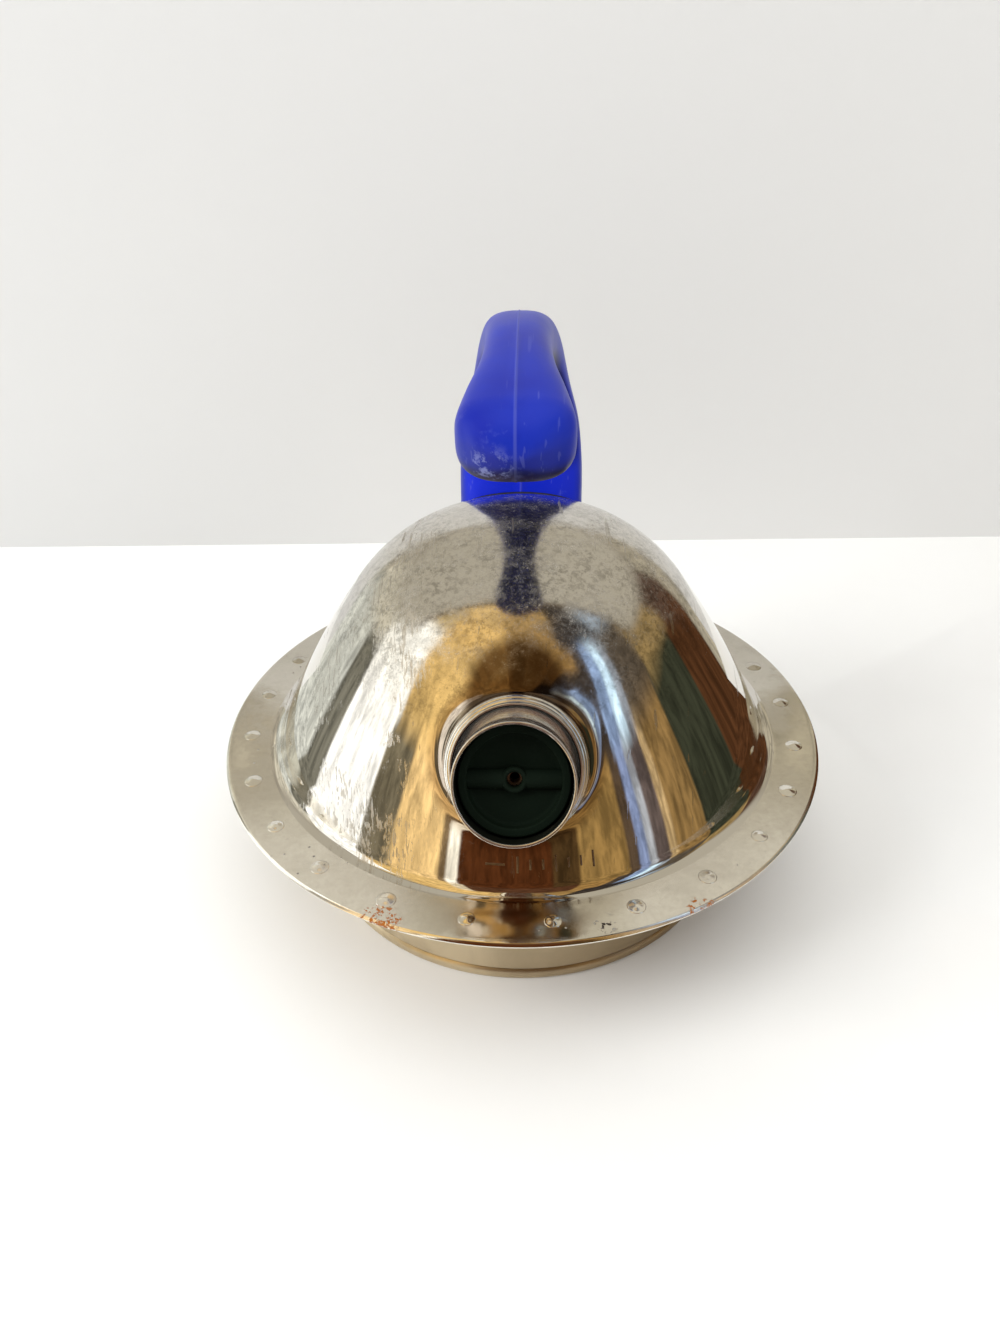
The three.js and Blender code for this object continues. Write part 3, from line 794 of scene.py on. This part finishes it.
def build_level_mark(bm):
    """A stamped level line: a dash and a plain scale of ticks, every third one taller."""
    level = LEVEL_MARK["rise"]
    add_stroke(bm, (LEVEL_DASH[0], level), (LEVEL_DASH[1], level))
    for i in range(LEVEL_TICKS["count"]):
        tall = LEVEL_TICKS["short" if i % 3 else "tall"]
        azimuth = LEVEL_TICKS["start"] + LEVEL_TICKS["step"] * i
        add_stroke(bm, (azimuth, level - tall), (azimuth, level + tall))


make_piece("dome_skin", build_dome, KETTLE, [STEEL, FLANGE], ["dome_shell"], SHEET)
make_piece("level_mark", build_level_mark, KETTLE, [STAMPED])

# ---------- base ----------


def pan_outline():
    under = FLANGE_HEIGHT - 2 * SHEET - GAP
    corner_start = (PAN_CORNER["inner"], PAN_FLOOR)
    corner_end = (PAN_CORNER["outer"], PAN_CORNER["top"])
    neck = (PAN_NECK["radius"], PAN_NECK["height"])
    return join(
        curve(8, (PAN_FLANGE_RADIUS, under), (PAN_NECK["flange_start"], under)),
        curve(10, (PAN_NECK["flange_start"], under), (PAN_NECK["control"], under), neck),
        curve(12, neck, corner_end),
        curve(3, corner_end, (PAN_CORNER["control"], PAN_FLOOR), corner_start),
        curve(12, corner_start, (0, PAN_FLOOR)),
    )


def build_cap(bm):
    """The cap's satin rim and rounded edge, and a scoured face with three shallow turned rings."""
    face = [(CAP_RADIUS - CAP_ROUND, 0)]
    curve_radius = CAP_GROOVES["curve"]
    for radius in CAP_GROOVES["radii"]:
        face += arc((radius, CAP_GROOVES["depth"] - curve_radius), curve_radius, 55, 125, 6)
    add_lathe(bm, join([(CAP_RADIUS, CAP_HEIGHT)], rounded((CAP_RADIUS, 0), CAP_ROUND, 0, -90, 10)))
    add_lathe(bm, join(face, [(0, 0)]), material=1)
    weld(bm)


make_piece("pan_skin", turned(pan_outline()), KETTLE, [PAN], ["base_pan"], SHEET)
make_piece("base_skin", build_cap, KETTLE, [PAN, BASE], ["base_cap"], SHEET)

# ---------- spout and whistle ----------


def collar_outline():
    lip = COLLAR["lip"]
    stretches = [[(COLLAR["inner"], COLLAR["start"]), (COLLAR["inner"], COLLAR["end"])]]
    stretches.append(arc((COLLAR["mouth"], COLLAR["end"] - lip), lip, 90, 20, 4))
    for bead in reversed(BEADS):
        stretches.append(arc((bead["centre"], bead["along"]), bead["radius"], 75, -75, 16))
    stretches.append([(COLLAR["sleeve"], NECK["end"] + GAP), (COLLAR["sleeve"], COLLAR["start"])])
    return join(*stretches)


def build_nozzle(bm):
    """The bore, near-black with painted shade, then the lip and the polished outside."""
    root, outer = NOZZLE["root"], NOZZLE["radius"]
    lip = (outer - SHEET / 2, NOZZLE["end"] - LIP["radius"])
    outside = [(outer, lip[1] - LIP["neck"]), (outer, NOZZLE["taper_end"])]
    outside += [(root, NOZZLE["taper_start"]), (root, NOZZLE["start"])]
    bore = [(radius - SHEET, along) for radius, along in reversed(outside)]
    add_lathe(bm, bore, SPOUT, SPOUT_ROUND, material=1)
    add_lathe(bm, join([bore[-1]], arc(lip, LIP["radius"], 215, -35, 20), outside), SPOUT, SPOUT_ROUND)
    add_lathe(bm, [outside[-1], bore[0]], SPOUT, SPOUT_ROUND)
    weld(bm)


def cup_outline():
    hole = STEAM_HOLE["cup"]
    groove = WHISTLE_RADIUS - SEAL_GROOVE["depth"]
    return join(
        [(hole, CHAMBER_TOP), (hole, DISH_BOTTOM - STEAM_HOLE["chamfer_depth"])],
        [(hole + STEAM_HOLE["chamfer"], DISH_BOTTOM)],
        rounded((CHAMBER_RADIUS, DISH_BOTTOM), CUP_ROUNDS["dish"], -90, 0, 8),
        rounded((CHAMBER_RADIUS, WHISTLE_FRONT), CUP_ROUNDS["rim_inside"], 180, 90, 5),
        rounded((WHISTLE_RADIUS, WHISTLE_FRONT), CUP_ROUNDS["rim_outside"], 90, 0, 6),
        [(WHISTLE_RADIUS, SEAL_GROOVE["to"]), (groove, SEAL_GROOVE["to"]), (groove, SEAL_GROOVE["from"])],
        [(WHISTLE_RADIUS, SEAL_GROOVE["from"])],
        rounded((WHISTLE_RADIUS, WHISTLE_BACK), CUP_ROUNDS["back"], 0, -90, 4),
        [(CHAMBER_RADIUS, WHISTLE_BACK), (CHAMBER_RADIUS, CHAMBER_TOP)],
    )


def round_topped(middle, width, steps):
    """The section of the pull bar or of the boss's wall: upright, with a half-round top."""
    half = width / 2
    top = arc((middle, BAR["top"] - half), half, 180, 0, steps)
    return join([(middle - half, BAR_FOOT)], top, [(middle + half, BAR_FOOT)])


def add_bar_half(bm, side):
    """Half of the pull bar, from the steam hole's boss to the wall."""
    section = round_topped(0, BAR["width"], 16)
    loops = []
    for x in (side * BAR["start"], side * BAR["end"]):
        loops.append(new_loop(bm, [SPOUT @ Vector((x, *point)) for point in section]))
    add_loops(bm, loops[::side])
    for loop in loops:
        bm.faces.new(loop)


def build_cup(bm):
    add_lathe(bm, cup_outline(), SPOUT, SPOUT_ROUND, closed=True)
    boss = round_topped(STEAM_HOLE["cup"] + BOSS_WALL / 2, BOSS_WALL, 8)
    add_lathe(bm, boss, SPOUT, BOSS_ROUND, closed=True)
    for side in (1, -1):
        add_bar_half(bm, side)
    bmesh.ops.recalc_face_normals(bm, faces=bm.faces)


def plate_outline(start):
    """A stamped disc, dished a little round its hole."""
    outer = CHAMBER_RADIUS - GAP
    hole = STEAM_HOLE["plate"]
    dish = hole + PLATE["dish"]
    end = start + PLATE["thickness"]
    back = [(outer, start), (dish, start), (hole, start + PLATE["back_rise"])]
    front = [(hole, end - PLATE["hole_drop"]), (dish, end - PLATE["dish_drop"])]
    return join(back, front, rounded((outer, end), PLATE["round"], 90, 0, 4))


def seal_outline():
    """A ring with two ribs that press on the bore."""
    inner = WHISTLE_RADIUS - SEAL_GROOVE["depth"] + GAP
    low = SEAL_GROOVE["from"] + GAP
    high = SEAL_GROOVE["to"] - GAP
    rib = SEAL_RIB["radius"]
    ribs = []
    for middle in (high - rib, low + rib):
        ribs += arc((WHISTLE_RADIUS - SEAL_RIB["sunk"], middle), rib, 80, -80, 8)
    return join([(inner, low), (inner, high)], ribs)


def spout_ring(outline, segments=SPOUT_ROUND):
    return turned(outline, SPOUT, segments, closed=True)


collar = spout_ring(collar_outline())
seal = spout_ring(seal_outline())
make_piece("collar_skin", collar, KETTLE, [SPOUT_STEEL], ["spout_collar"])
make_piece("nozzle_skin", build_nozzle, KETTLE, [SPOUT_STEEL, BORE], ["spout_nozzle"])
make_piece("whistle_cup_skin", build_cup, WHISTLE, [BLACK], ["whistle_cup"])
make_piece("whistle_seal_skin", seal, WHISTLE, [SILICONE], ["whistle_seal"])
front_plate_start = CHAMBER_TOP - GAP - PLATE["thickness"]
for side, start in (("front", front_plate_start), ("back", BACK_PLATE_START)):
    node = f"whistle_{side}_plate"
    disc = spout_ring(plate_outline(start), PLATE_ROUND)
    make_piece(f"{node}_skin", disc, WHISTLE, [WHISTLE_STEEL], [node])

# ---------- handle ----------


def station_at(share):
    """Centre line and section at a share of the handle's length, by a smooth curve through the stations."""
    last = len(HANDLE_STATIONS) - 1
    index = min(int(share * last), last - 1)
    s = share * last - index
    before = HANDLE_STATIONS[max(index - 1, 0)]
    start = HANDLE_STATIONS[index]
    end = HANDLE_STATIONS[index + 1]
    after = HANDLE_STATIONS[min(index + 2, last)]
    values = []
    for a, b, c, d in zip(before, start, end, after):
        slope_in = (c - a) / 2 if index else c - b
        slope_out = (d - b) / 2 if index + 2 <= last else c - b
        cubic = (2 * b - 2 * c + slope_in + slope_out) * s ** 3
        square = (-3 * b + 3 * c - 2 * slope_in - slope_out) * s ** 2
        values.append(cubic + square + slope_in * s + b)
    return values


def handle_point(angle, share, growth=0.0, scale=1.0):
    """A point on the handle's skin, by angle round its section and share of its length."""
    power = 2 / (FOOT_SQUARENESS + (NOSE_SQUARENESS - FOOT_SQUARENESS) * share ** 2)
    into = max(0.0, (share - NOSE_SHARE) / (1 - NOSE_SHARE)) * math.pi / 2
    at = share if share < NOSE_SHARE else NOSE_SHARE + (1 - NOSE_SHARE) * math.sin(into)
    y, rise, half_width, half_depth = station_at(at)
    ahead = station_at(min(at + SLOPE_STEP, 1))
    behind = station_at(max(at - SLOPE_STEP, 0))
    along = Vector((0, ahead[0] - behind[0], ahead[1] - behind[1])).normalized()
    closing = max(math.cos(into), 0.0)
    sine, cosine = math.sin(angle), math.cos(angle)
    across = math.copysign(abs(sine) ** power, sine) * (half_width + growth) * closing * scale
    outward = math.copysign(abs(cosine) ** power, cosine) * (half_depth + growth) * closing * scale
    return Vector((across, y + along.z * outward, FLANGE_HEIGHT + rise - along.y * outward))


def rests_at(angle, growth, scale, lift):
    """The share of the handle's length where this line of its skin meets the dome, lifted by a distance."""

    def inside(share):
        here = handle_point(angle, share, growth, scale)
        below_crown = here.z < FLANGE_HEIGHT + CROWN["rise"]
        return below_crown and math.hypot(here.x, here.y) < dome_radius(here.z) + lift * FOOT_SLOPE

    return furthest_inside(0.0, FOOT_LIMIT, inside)


def foot_loop(bm, angles, growth, scale, lift):
    """A loop of the handle's section where it rests on the dome, lifted by a distance."""
    return new_loop(bm, [handle_point(a, rests_at(a, growth, scale, lift), growth, scale) for a in angles])


def handle_angles():
    """Angles round the section, with close pairs beside the parting line at the top and the bottom."""
    angles = full_turn(HANDLE_AROUND)
    for middle in (0, math.pi):
        angles += [(middle + side * PARTING_RIDGE["angle"]) % (2 * math.pi) for side in (-1, 1)]
    return sorted(angles)


def build_grip(bm):
    """The skin from the foot's underside to the nose. Near the foot its loops slant as the dome does."""
    angles = handle_angles()
    lift = GAP + GASKET + GAP
    starts = [rests_at(a, 0, 1, lift) for a in angles]
    loops = [foot_loop(bm, angles, 0, scale, lift) for scale in UNDER_SCALES]
    for i in range(HANDLE_ALONG):
        share = i / HANDLE_ALONG
        points = []
        for angle, start in zip(angles, starts):
            ridge = PARTING_RIDGE["rise"] if min(angle, abs(angle - math.pi)) < 1e-6 else 0
            points.append(handle_point(angle, share + start * (1 - share) ** 3, ridge))
        loops.append(new_loop(bm, points))
    add_loops(bm, loops)
    bm.faces.new(loops[0])
    bm.faces.new(loops[-1][::-1])
    bmesh.ops.recalc_face_normals(bm, faces=bm.faces)


def foot_frame():
    place = Matrix.Translation((0, HANDLE_FOOT["y"], FLANGE_HEIGHT + HANDLE_FOOT["rise"]))
    return place @ Matrix.Rotation(-HANDLE_FOOT["lean"], 4, "X")


def across_foot(level):
    """The frame of a fastener: its Z axis points to the rear, at a level along the column."""
    return foot_frame() @ Matrix.Translation((0, 0, level)) @ Matrix.Rotation(-math.pi / 2, 4, "X")


def counterbore(piece, level):
    """Cuts the pocket for a screw's head and washer into the rear of the grip."""
    floor = SCREW_SEAT - WASHER["thickness"] - 2 * GAP
    radius = WASHER["radius"] + GAP
    pocket = [(0, CUTTER_REACH), (radius, CUTTER_REACH), (radius, floor), (0, floor)]
    cutter = mesh_object("cutter", turned(pocket, across_foot(level), FASTENER_ROUND))
    cut = piece.modifiers.new("counterbore", "BOOLEAN")
    cut.operation = "DIFFERENCE"
    cut.solver = "EXACT"
    cut.object = cutter
    bpy.context.view_layer.objects.active = piece
    bpy.ops.object.modifier_apply(modifier=cut.name)
    mesh = cutter.data
    bpy.data.objects.remove(cutter)
    bpy.data.meshes.remove(mesh)


def build_gasket(bm):
    top, under = GAP + GASKET, GAP
    corners = [(1, top), (1, under), (GASKET_HOLE, under), (GASKET_HOLE, top)]
    angles = full_turn(HANDLE_AROUND)
    add_loops(bm, [foot_loop(bm, angles, GASKET_LIP, *corner) for corner in corners], closed=True)
    bmesh.ops.recalc_face_normals(bm, faces=bm.faces)


def washer_outline():
    back = SCREW_SEAT - GAP
    front = back - WASHER["thickness"]
    edge = rounded((WASHER["radius"], back), WASHER["round"], 90, 0, 4)
    return join([(WASHER["hole"], front), (WASHER["hole"], back)], edge, [(WASHER["radius"], front)])


grip = make_piece("grip_skin", build_grip, KETTLE, [BLUE], ["handle_grip"], crease=34)
for level in SCREW_LEVELS.values():
    counterbore(grip, level)
make_piece("gasket_skin", build_gasket, KETTLE, [SILICONE], ["handle_gasket"], crease=50)
for place, level in SCREW_LEVELS.items():
    washer = turned(washer_outline(), across_foot(level), FASTENER_ROUND, closed=True)
    node = f"handle_washer_{place}"
    make_piece(f"washer_{place}_skin", washer, KETTLE, [ZINC], [node])

# ---------- CAD nodes that stay as they are ----------

KEPT_NODES = {"heat_spreader": ALUMINIUM, "spout_seal": SILICONE}
for part in ("core", "bracket", "screw_upper", "screw_lower", "nut_upper", "nut_lower"):
    KEPT_NODES[f"handle_{part}"] = ZINC
for node, look in KEPT_NODES.items():
    frame["nodes"][node].data.materials.clear()
    frame["nodes"][node].data.materials.append(look)

# ---------- stage ----------


def stage_mesh(name, build, material, hidden_from=()):
    """Something that isn't part of the object. Kinds of light that it is hidden from don't see it."""
    made = mesh_object(name, build)
    made.data.materials.append(material)
    for kind in hidden_from:
        setattr(made, f"visible_{kind}", False)


def add_rectangle(bm, corners):
    bm.faces.new([bm.verts.new(Vector(c)) for c in corners])


# The stage's sizes are in metres, apart from the screen's.
WALL_Y = 0.267
WALL_SLANT = 0.02  # metres to the rear for each metre to the right
STAGE_REACH = 6.0
BACKDROP_REACH = 2.7


def clear_behind(look, front=None):
    """Shows the look, or another shader, but nothing from behind, so the stage never hides the object."""
    back = look.node("ShaderNodeNewGeometry").outputs["Backfacing"]
    clear = look.node("ShaderNodeBsdfTransparent").outputs["BSDF"]
    either = look.node("ShaderNodeMixShader", {0: back, 1: front or look.shader.outputs["BSDF"], 2: clear})
    look.surface(either.outputs["Shader"])
    return look.material


def floor_material():
    look = Look("floor", (0.90, 0.90, 0.885), 0.0, 0.55)
    gloss = look.patches(60, 3, 0.5, 0.3, 0.7, 0.45, 0.6)
    look.finish((0.90, 0.90, 0.885, 1), gloss, (look.noise(240, 3), 0.05))
    return clear_behind(look)


def wall_material():
    look = Look("wall", (0.75, 0.75, 0.745), 0.0, 0.8)
    look.finish((0.75, 0.75, 0.745, 1), 0.8, (look.noise(150, 4), 0.04))
    return clear_behind(look)


def backdrop_material():
    look = Look("backdrop", (0, 0, 0), 0, 1)
    return clear_behind(look, look.glow((0.83, 0.83, 0.81, 1)))


def build_backdrop(bm):
    """Three more walls, far away on the left, the right and in front."""
    far, high = BACKDROP_REACH, BACKDROP_REACH
    corners = [(-far, far), (-far, -far), (far, -far), (far, far)]
    for (x0, y0), (x1, y1) in zip(corners, corners[1:]):
        add_rectangle(bm, [(x1, y1, 0), (x0, y0, 0), (x0, y0, high), (x1, y1, high)])


def make_stage():
    far = STAGE_REACH
    floor = [(-far, -far, 0), (far, -far, 0), (far, far, 0), (-far, far, 0)]
    stage_mesh("floor", lambda bm: add_rectangle(bm, floor), floor_material())
    left, right = WALL_Y - far * WALL_SLANT, WALL_Y + far * WALL_SLANT
    wall = [(-far, left, 0), (far, right, 0), (far, right, far / 2), (-far, left, far / 2)]
    stage_mesh("wall", lambda bm: add_rectangle(bm, wall), wall_material())
    unlit = ("diffuse", "glossy", "transmission", "shadow")
    stage_mesh("backdrop", build_backdrop, backdrop_material(), unlit)


# What the polished steel mirrors: a warm room in front, as bands by azimuth in degrees from the spout.
# Each band is the azimuth where it ends and then its colour.
WALL_GLOW = (0.52, 0.47, 0.36)
LOW_BANDS = [
    (-132, 0.6, 0.58, 0.48),
    (-102, 0.84, 0.86, 0.79),
    (-90, 0.26, 0.25, 0.2),
    (-62, 1.75, 1.75, 1.7),
    (-48, 0.27, 0.23, 0.15),
    (-29, 1.25, 0.86, 0.38),
    (-26, 0.3, 0.2, 0.1),
    (-22, 1.7, 1.6, 1.35),
    (12, 0.115, 0.036, 0.011),
    (22, 0.1, 0.055, 0.02),
    (40, 0.44, 0.27, 0.09),
    (44, 0.12, 0.08, 0.05),
    (48, 0.36, 0.46, 0.78),
    (51, 0.62, 0.66, 0.74),
    (57, 0.17, 0.13, 0.12),
    (60, 0.85, 0.6, 0.3),
    (75, 0.36, 0.22, 0.08),
    (100, 0.05, 0.055, 0.034),
    (125, 0.11, 0.045, 0.018),
    (180, *WALL_GLOW),
]
MIDDLE_BANDS = [
    (-132, 0.56, 0.51, 0.41),
    (-92, 0.85, 0.8, 0.66),
    (-60, 1.65, 1.65, 1.58),
    (-26, 1.1, 0.74, 0.28),
    (-20, 0.95, 0.8, 0.55),
    (22, 0.13, 0.055, 0.026),
    (36, 0.48, 0.28, 0.09),
    (43, 0.09, 0.07, 0.055),
    (49, 0.4, 0.56, 0.9),
    (54, 1.0, 1.35, 1.65),
    (58, 0.45, 0.5, 0.58),
    (76, 0.14, 0.11, 0.08),
    (104, 0.42, 0.29, 0.12),
    (127, 0.12, 0.065, 0.042),
    (180, *WALL_GLOW),
]
HIGH_BANDS = [
    (-112, 0.56, 0.49, 0.37),
    (-60, 0.74, 0.56, 0.28),
    (-12, 1.1, 0.72, 0.26),
    (30, 0.46, 0.28, 0.1),
    (62, 0.055, 0.045, 0.04),
    (78, 0.5, 0.6, 0.72),
    (124, 0.12, 0.12, 0.11),
    (180, *WALL_GLOW),
]
TOP_BANDS = [
    (-70, 0.56, 0.49, 0.37),
    (-22, 0.9, 0.62, 0.26),
    (34, 0.62, 0.4, 0.15),
    (62, 0.07, 0.055, 0.045),
    (180, *WALL_GLOW),
]
# Elevations in degrees and the bands that hold there. Two neighbours blend into each other between.
LEVELS = [
    (26, LOW_BANDS),
    (31, MIDDLE_BANDS),
    (53, MIDDLE_BANDS),
    (58, HIGH_BANDS),
    (67, HIGH_BANDS),
    (71, TOP_BANDS),
]
SCREEN_RADIUS = 400
SCREEN_TOP = (0.26, 0.30)  # heights in metres between which the screen begins to count as overhead
SCREEN_EDGE = -0.045  # metres: behind this line the overhead screen is wall-coloured
BEAM_WIDTH = 0.010  # metres: the dark beam in front of that line
BAND_SOFTNESS = 0.6
TABLE_EDGE = {"from": -130, "to": 125, "inner": 165}  # where polished steel sees past the table's edge


def band_colour(bands, azimuth):
    return next(Vector(colour) for end, *colour in bands if azimuth <= end)


def room_colour(azimuth, elevation):
    """The colour of the room in one direction."""
    colour = band_colour(LOW_BANDS, azimuth)
    for (start, before), (end, after) in zip(LEVELS, LEVELS[1:]):
        if elevation > start:
            share = min((elevation - start) / (end - start), 1)
            colour = band_colour(before, azimuth).lerp(band_colour(after, azimuth), share)
    return colour


def build_screen(bm):
    """Part of a ball round the kettle, coloured at its vertices."""
    ends = {end for _, bands in LEVELS for end, *_ in bands} | set(range(-180, 180, 6))
    sides = (-BAND_SOFTNESS, BAND_SOFTNESS)
    azimuths = sorted({(end + side + 180) % 360 - 180 for end in ends for side in sides})
    glow = bm.verts.layers.float_color.new("glow")
    loops = []
    for elevation in range(0, 91, 2):
        loop = []
        level = SCREEN_RADIUS * math.cos(math.radians(elevation))
        height = SCREEN_RADIUS * math.sin(math.radians(elevation))
        for azimuth in azimuths:
            loop += new_loop(bm, [round_axis(level, math.radians(azimuth), height)])
            loop[-1][glow] = (*room_colour(azimuth, elevation), 1)
        loops.append(loop)
    add_loops(bm, loops)
    low, high = TABLE_EDGE["from"], TABLE_EDGE["to"]
    outer = [vert for azimuth, vert in zip(azimuths, loops[0]) if low <= azimuth <= high]
    shrink = TABLE_EDGE["inner"] / SCREEN_RADIUS
    inner = [bm.verts.new(vert.co * shrink + Vector((0, 0, MM))) for vert in outer]
    for vert, source in zip(inner, outer):
        vert[glow] = source[glow]
    for i in range(len(outer) - 1):
        bm.faces.new([outer[i], outer[i + 1], inner[i + 1], inner[i]])


def screen_material():
    """Only glows: its bands are streaked like a cluttered room, and end at a beam overhead."""
    look = Look("room_screen", (0, 0, 0), 0, 1)
    bands = look.node("ShaderNodeAttribute", attribute_name="glow").outputs["Color"]
    clutter = look.noise(46, 6, 0.7, 0.4, look.stretched((1, 1, 0.08)))
    streaks = look.between(clutter, 0.34, 0.66, 0.52, 1.28)
    streaked = look.node("ShaderNodeVectorMath", {0: bands, "Scale": streaks}, operation="SCALE")
    high = look.between(look.axis("Z"), *SCREEN_TOP)
    beam = look.between(look.axis("Y"), SCREEN_EDGE - BEAM_WIDTH, SCREEN_EDGE - BEAM_WIDTH + 0.002)
    overhead = look.between(look.axis("Y"), SCREEN_EDGE, SCREEN_EDGE + 0.003)
    edged = look.mix(look.times(beam, high), streaked.outputs["Vector"], (0.12, 0.08, 0.045))
    colour = look.mix(look.times(overhead, high), edged, (0.56, 0.52, 0.43))
    look.surface(look.glow(colour))
    return look.material


def make_screen():
    """The polished steel mirrors this screen, and nothing else sees it."""
    unseen = ("camera", "diffuse", "transmission", "shadow")
    stage_mesh("room_screen", build_screen, screen_material(), unseen)


def area_light(name, place, target, size, power, colour):
    """A soft rectangular light that polished metal doesn't mirror."""
    light = bpy.data.lights.new(name, "AREA")
    light.shape = "RECTANGLE"
    light.size, light.size_y = size
    light.energy = power
    light.color = colour
    lamp = bpy.data.objects.new(name, light)
    lamp.location = place
    lamp.rotation_euler = (Vector(target) - Vector(place)).to_track_quat("-Z", "Y").to_euler()
    lamp.visible_glossy = False
    bpy.context.scene.collection.objects.link(lamp)


def make_lights():
    area_light("key", (-2.0, -0.9, 1.6), (0, 0, 0.08), (1.3, 1.3), 46, (1.0, 1.0, 1.0))
    area_light("top", (0.2, -0.2, 1.8), (0, 0, 0), (1.8, 1.4), 15, (1.0, 1.0, 0.99))
    area_light("fill", (1.4, -1.1, 0.8), (0, 0, 0.1), (1.2, 0.9), 9, (1.0, 0.95, 0.88))
    world = bpy.data.worlds.new("studio")
    world.use_nodes = True
    world.node_tree.nodes["Background"].inputs["Color"].default_value = (0.93, 0.93, 0.92, 1)
    world.node_tree.nodes["Background"].inputs["Strength"].default_value = 0.33
    bpy.context.scene.world = world


def make_camera():
    """Looks down at the spout from the front, a little to the kettle's left."""
    camera = bpy.data.cameras.new("camera")
    camera.lens = 27.593
    camera.sensor_width = 36
    camera.clip_start = 0.01
    eye = bpy.data.objects.new("camera", camera)
    turn = Matrix.Rotation(math.radians(1.0), 4, "Z")
    stand = Matrix.Translation((0, -0.3267, 0.3020))
    look_down = Matrix.Rotation(math.radians(90 - 36.87), 4, "X")
    pan = Matrix.Rotation(math.radians(1.13), 4, "Y")
    tilt = Matrix.Rotation(math.radians(2.95), 4, "X")
    roll = Matrix.Rotation(math.radians(-0.36), 4, "Z")
    eye.matrix_world = turn @ stand @ look_down @ pan @ tilt @ roll
    bpy.context.scene.collection.objects.link(eye)
    bpy.context.scene.camera = eye


make_stage()
make_screen()
make_lights()
make_camera()
bpy.context.scene.view_settings.view_transform = "Standard"
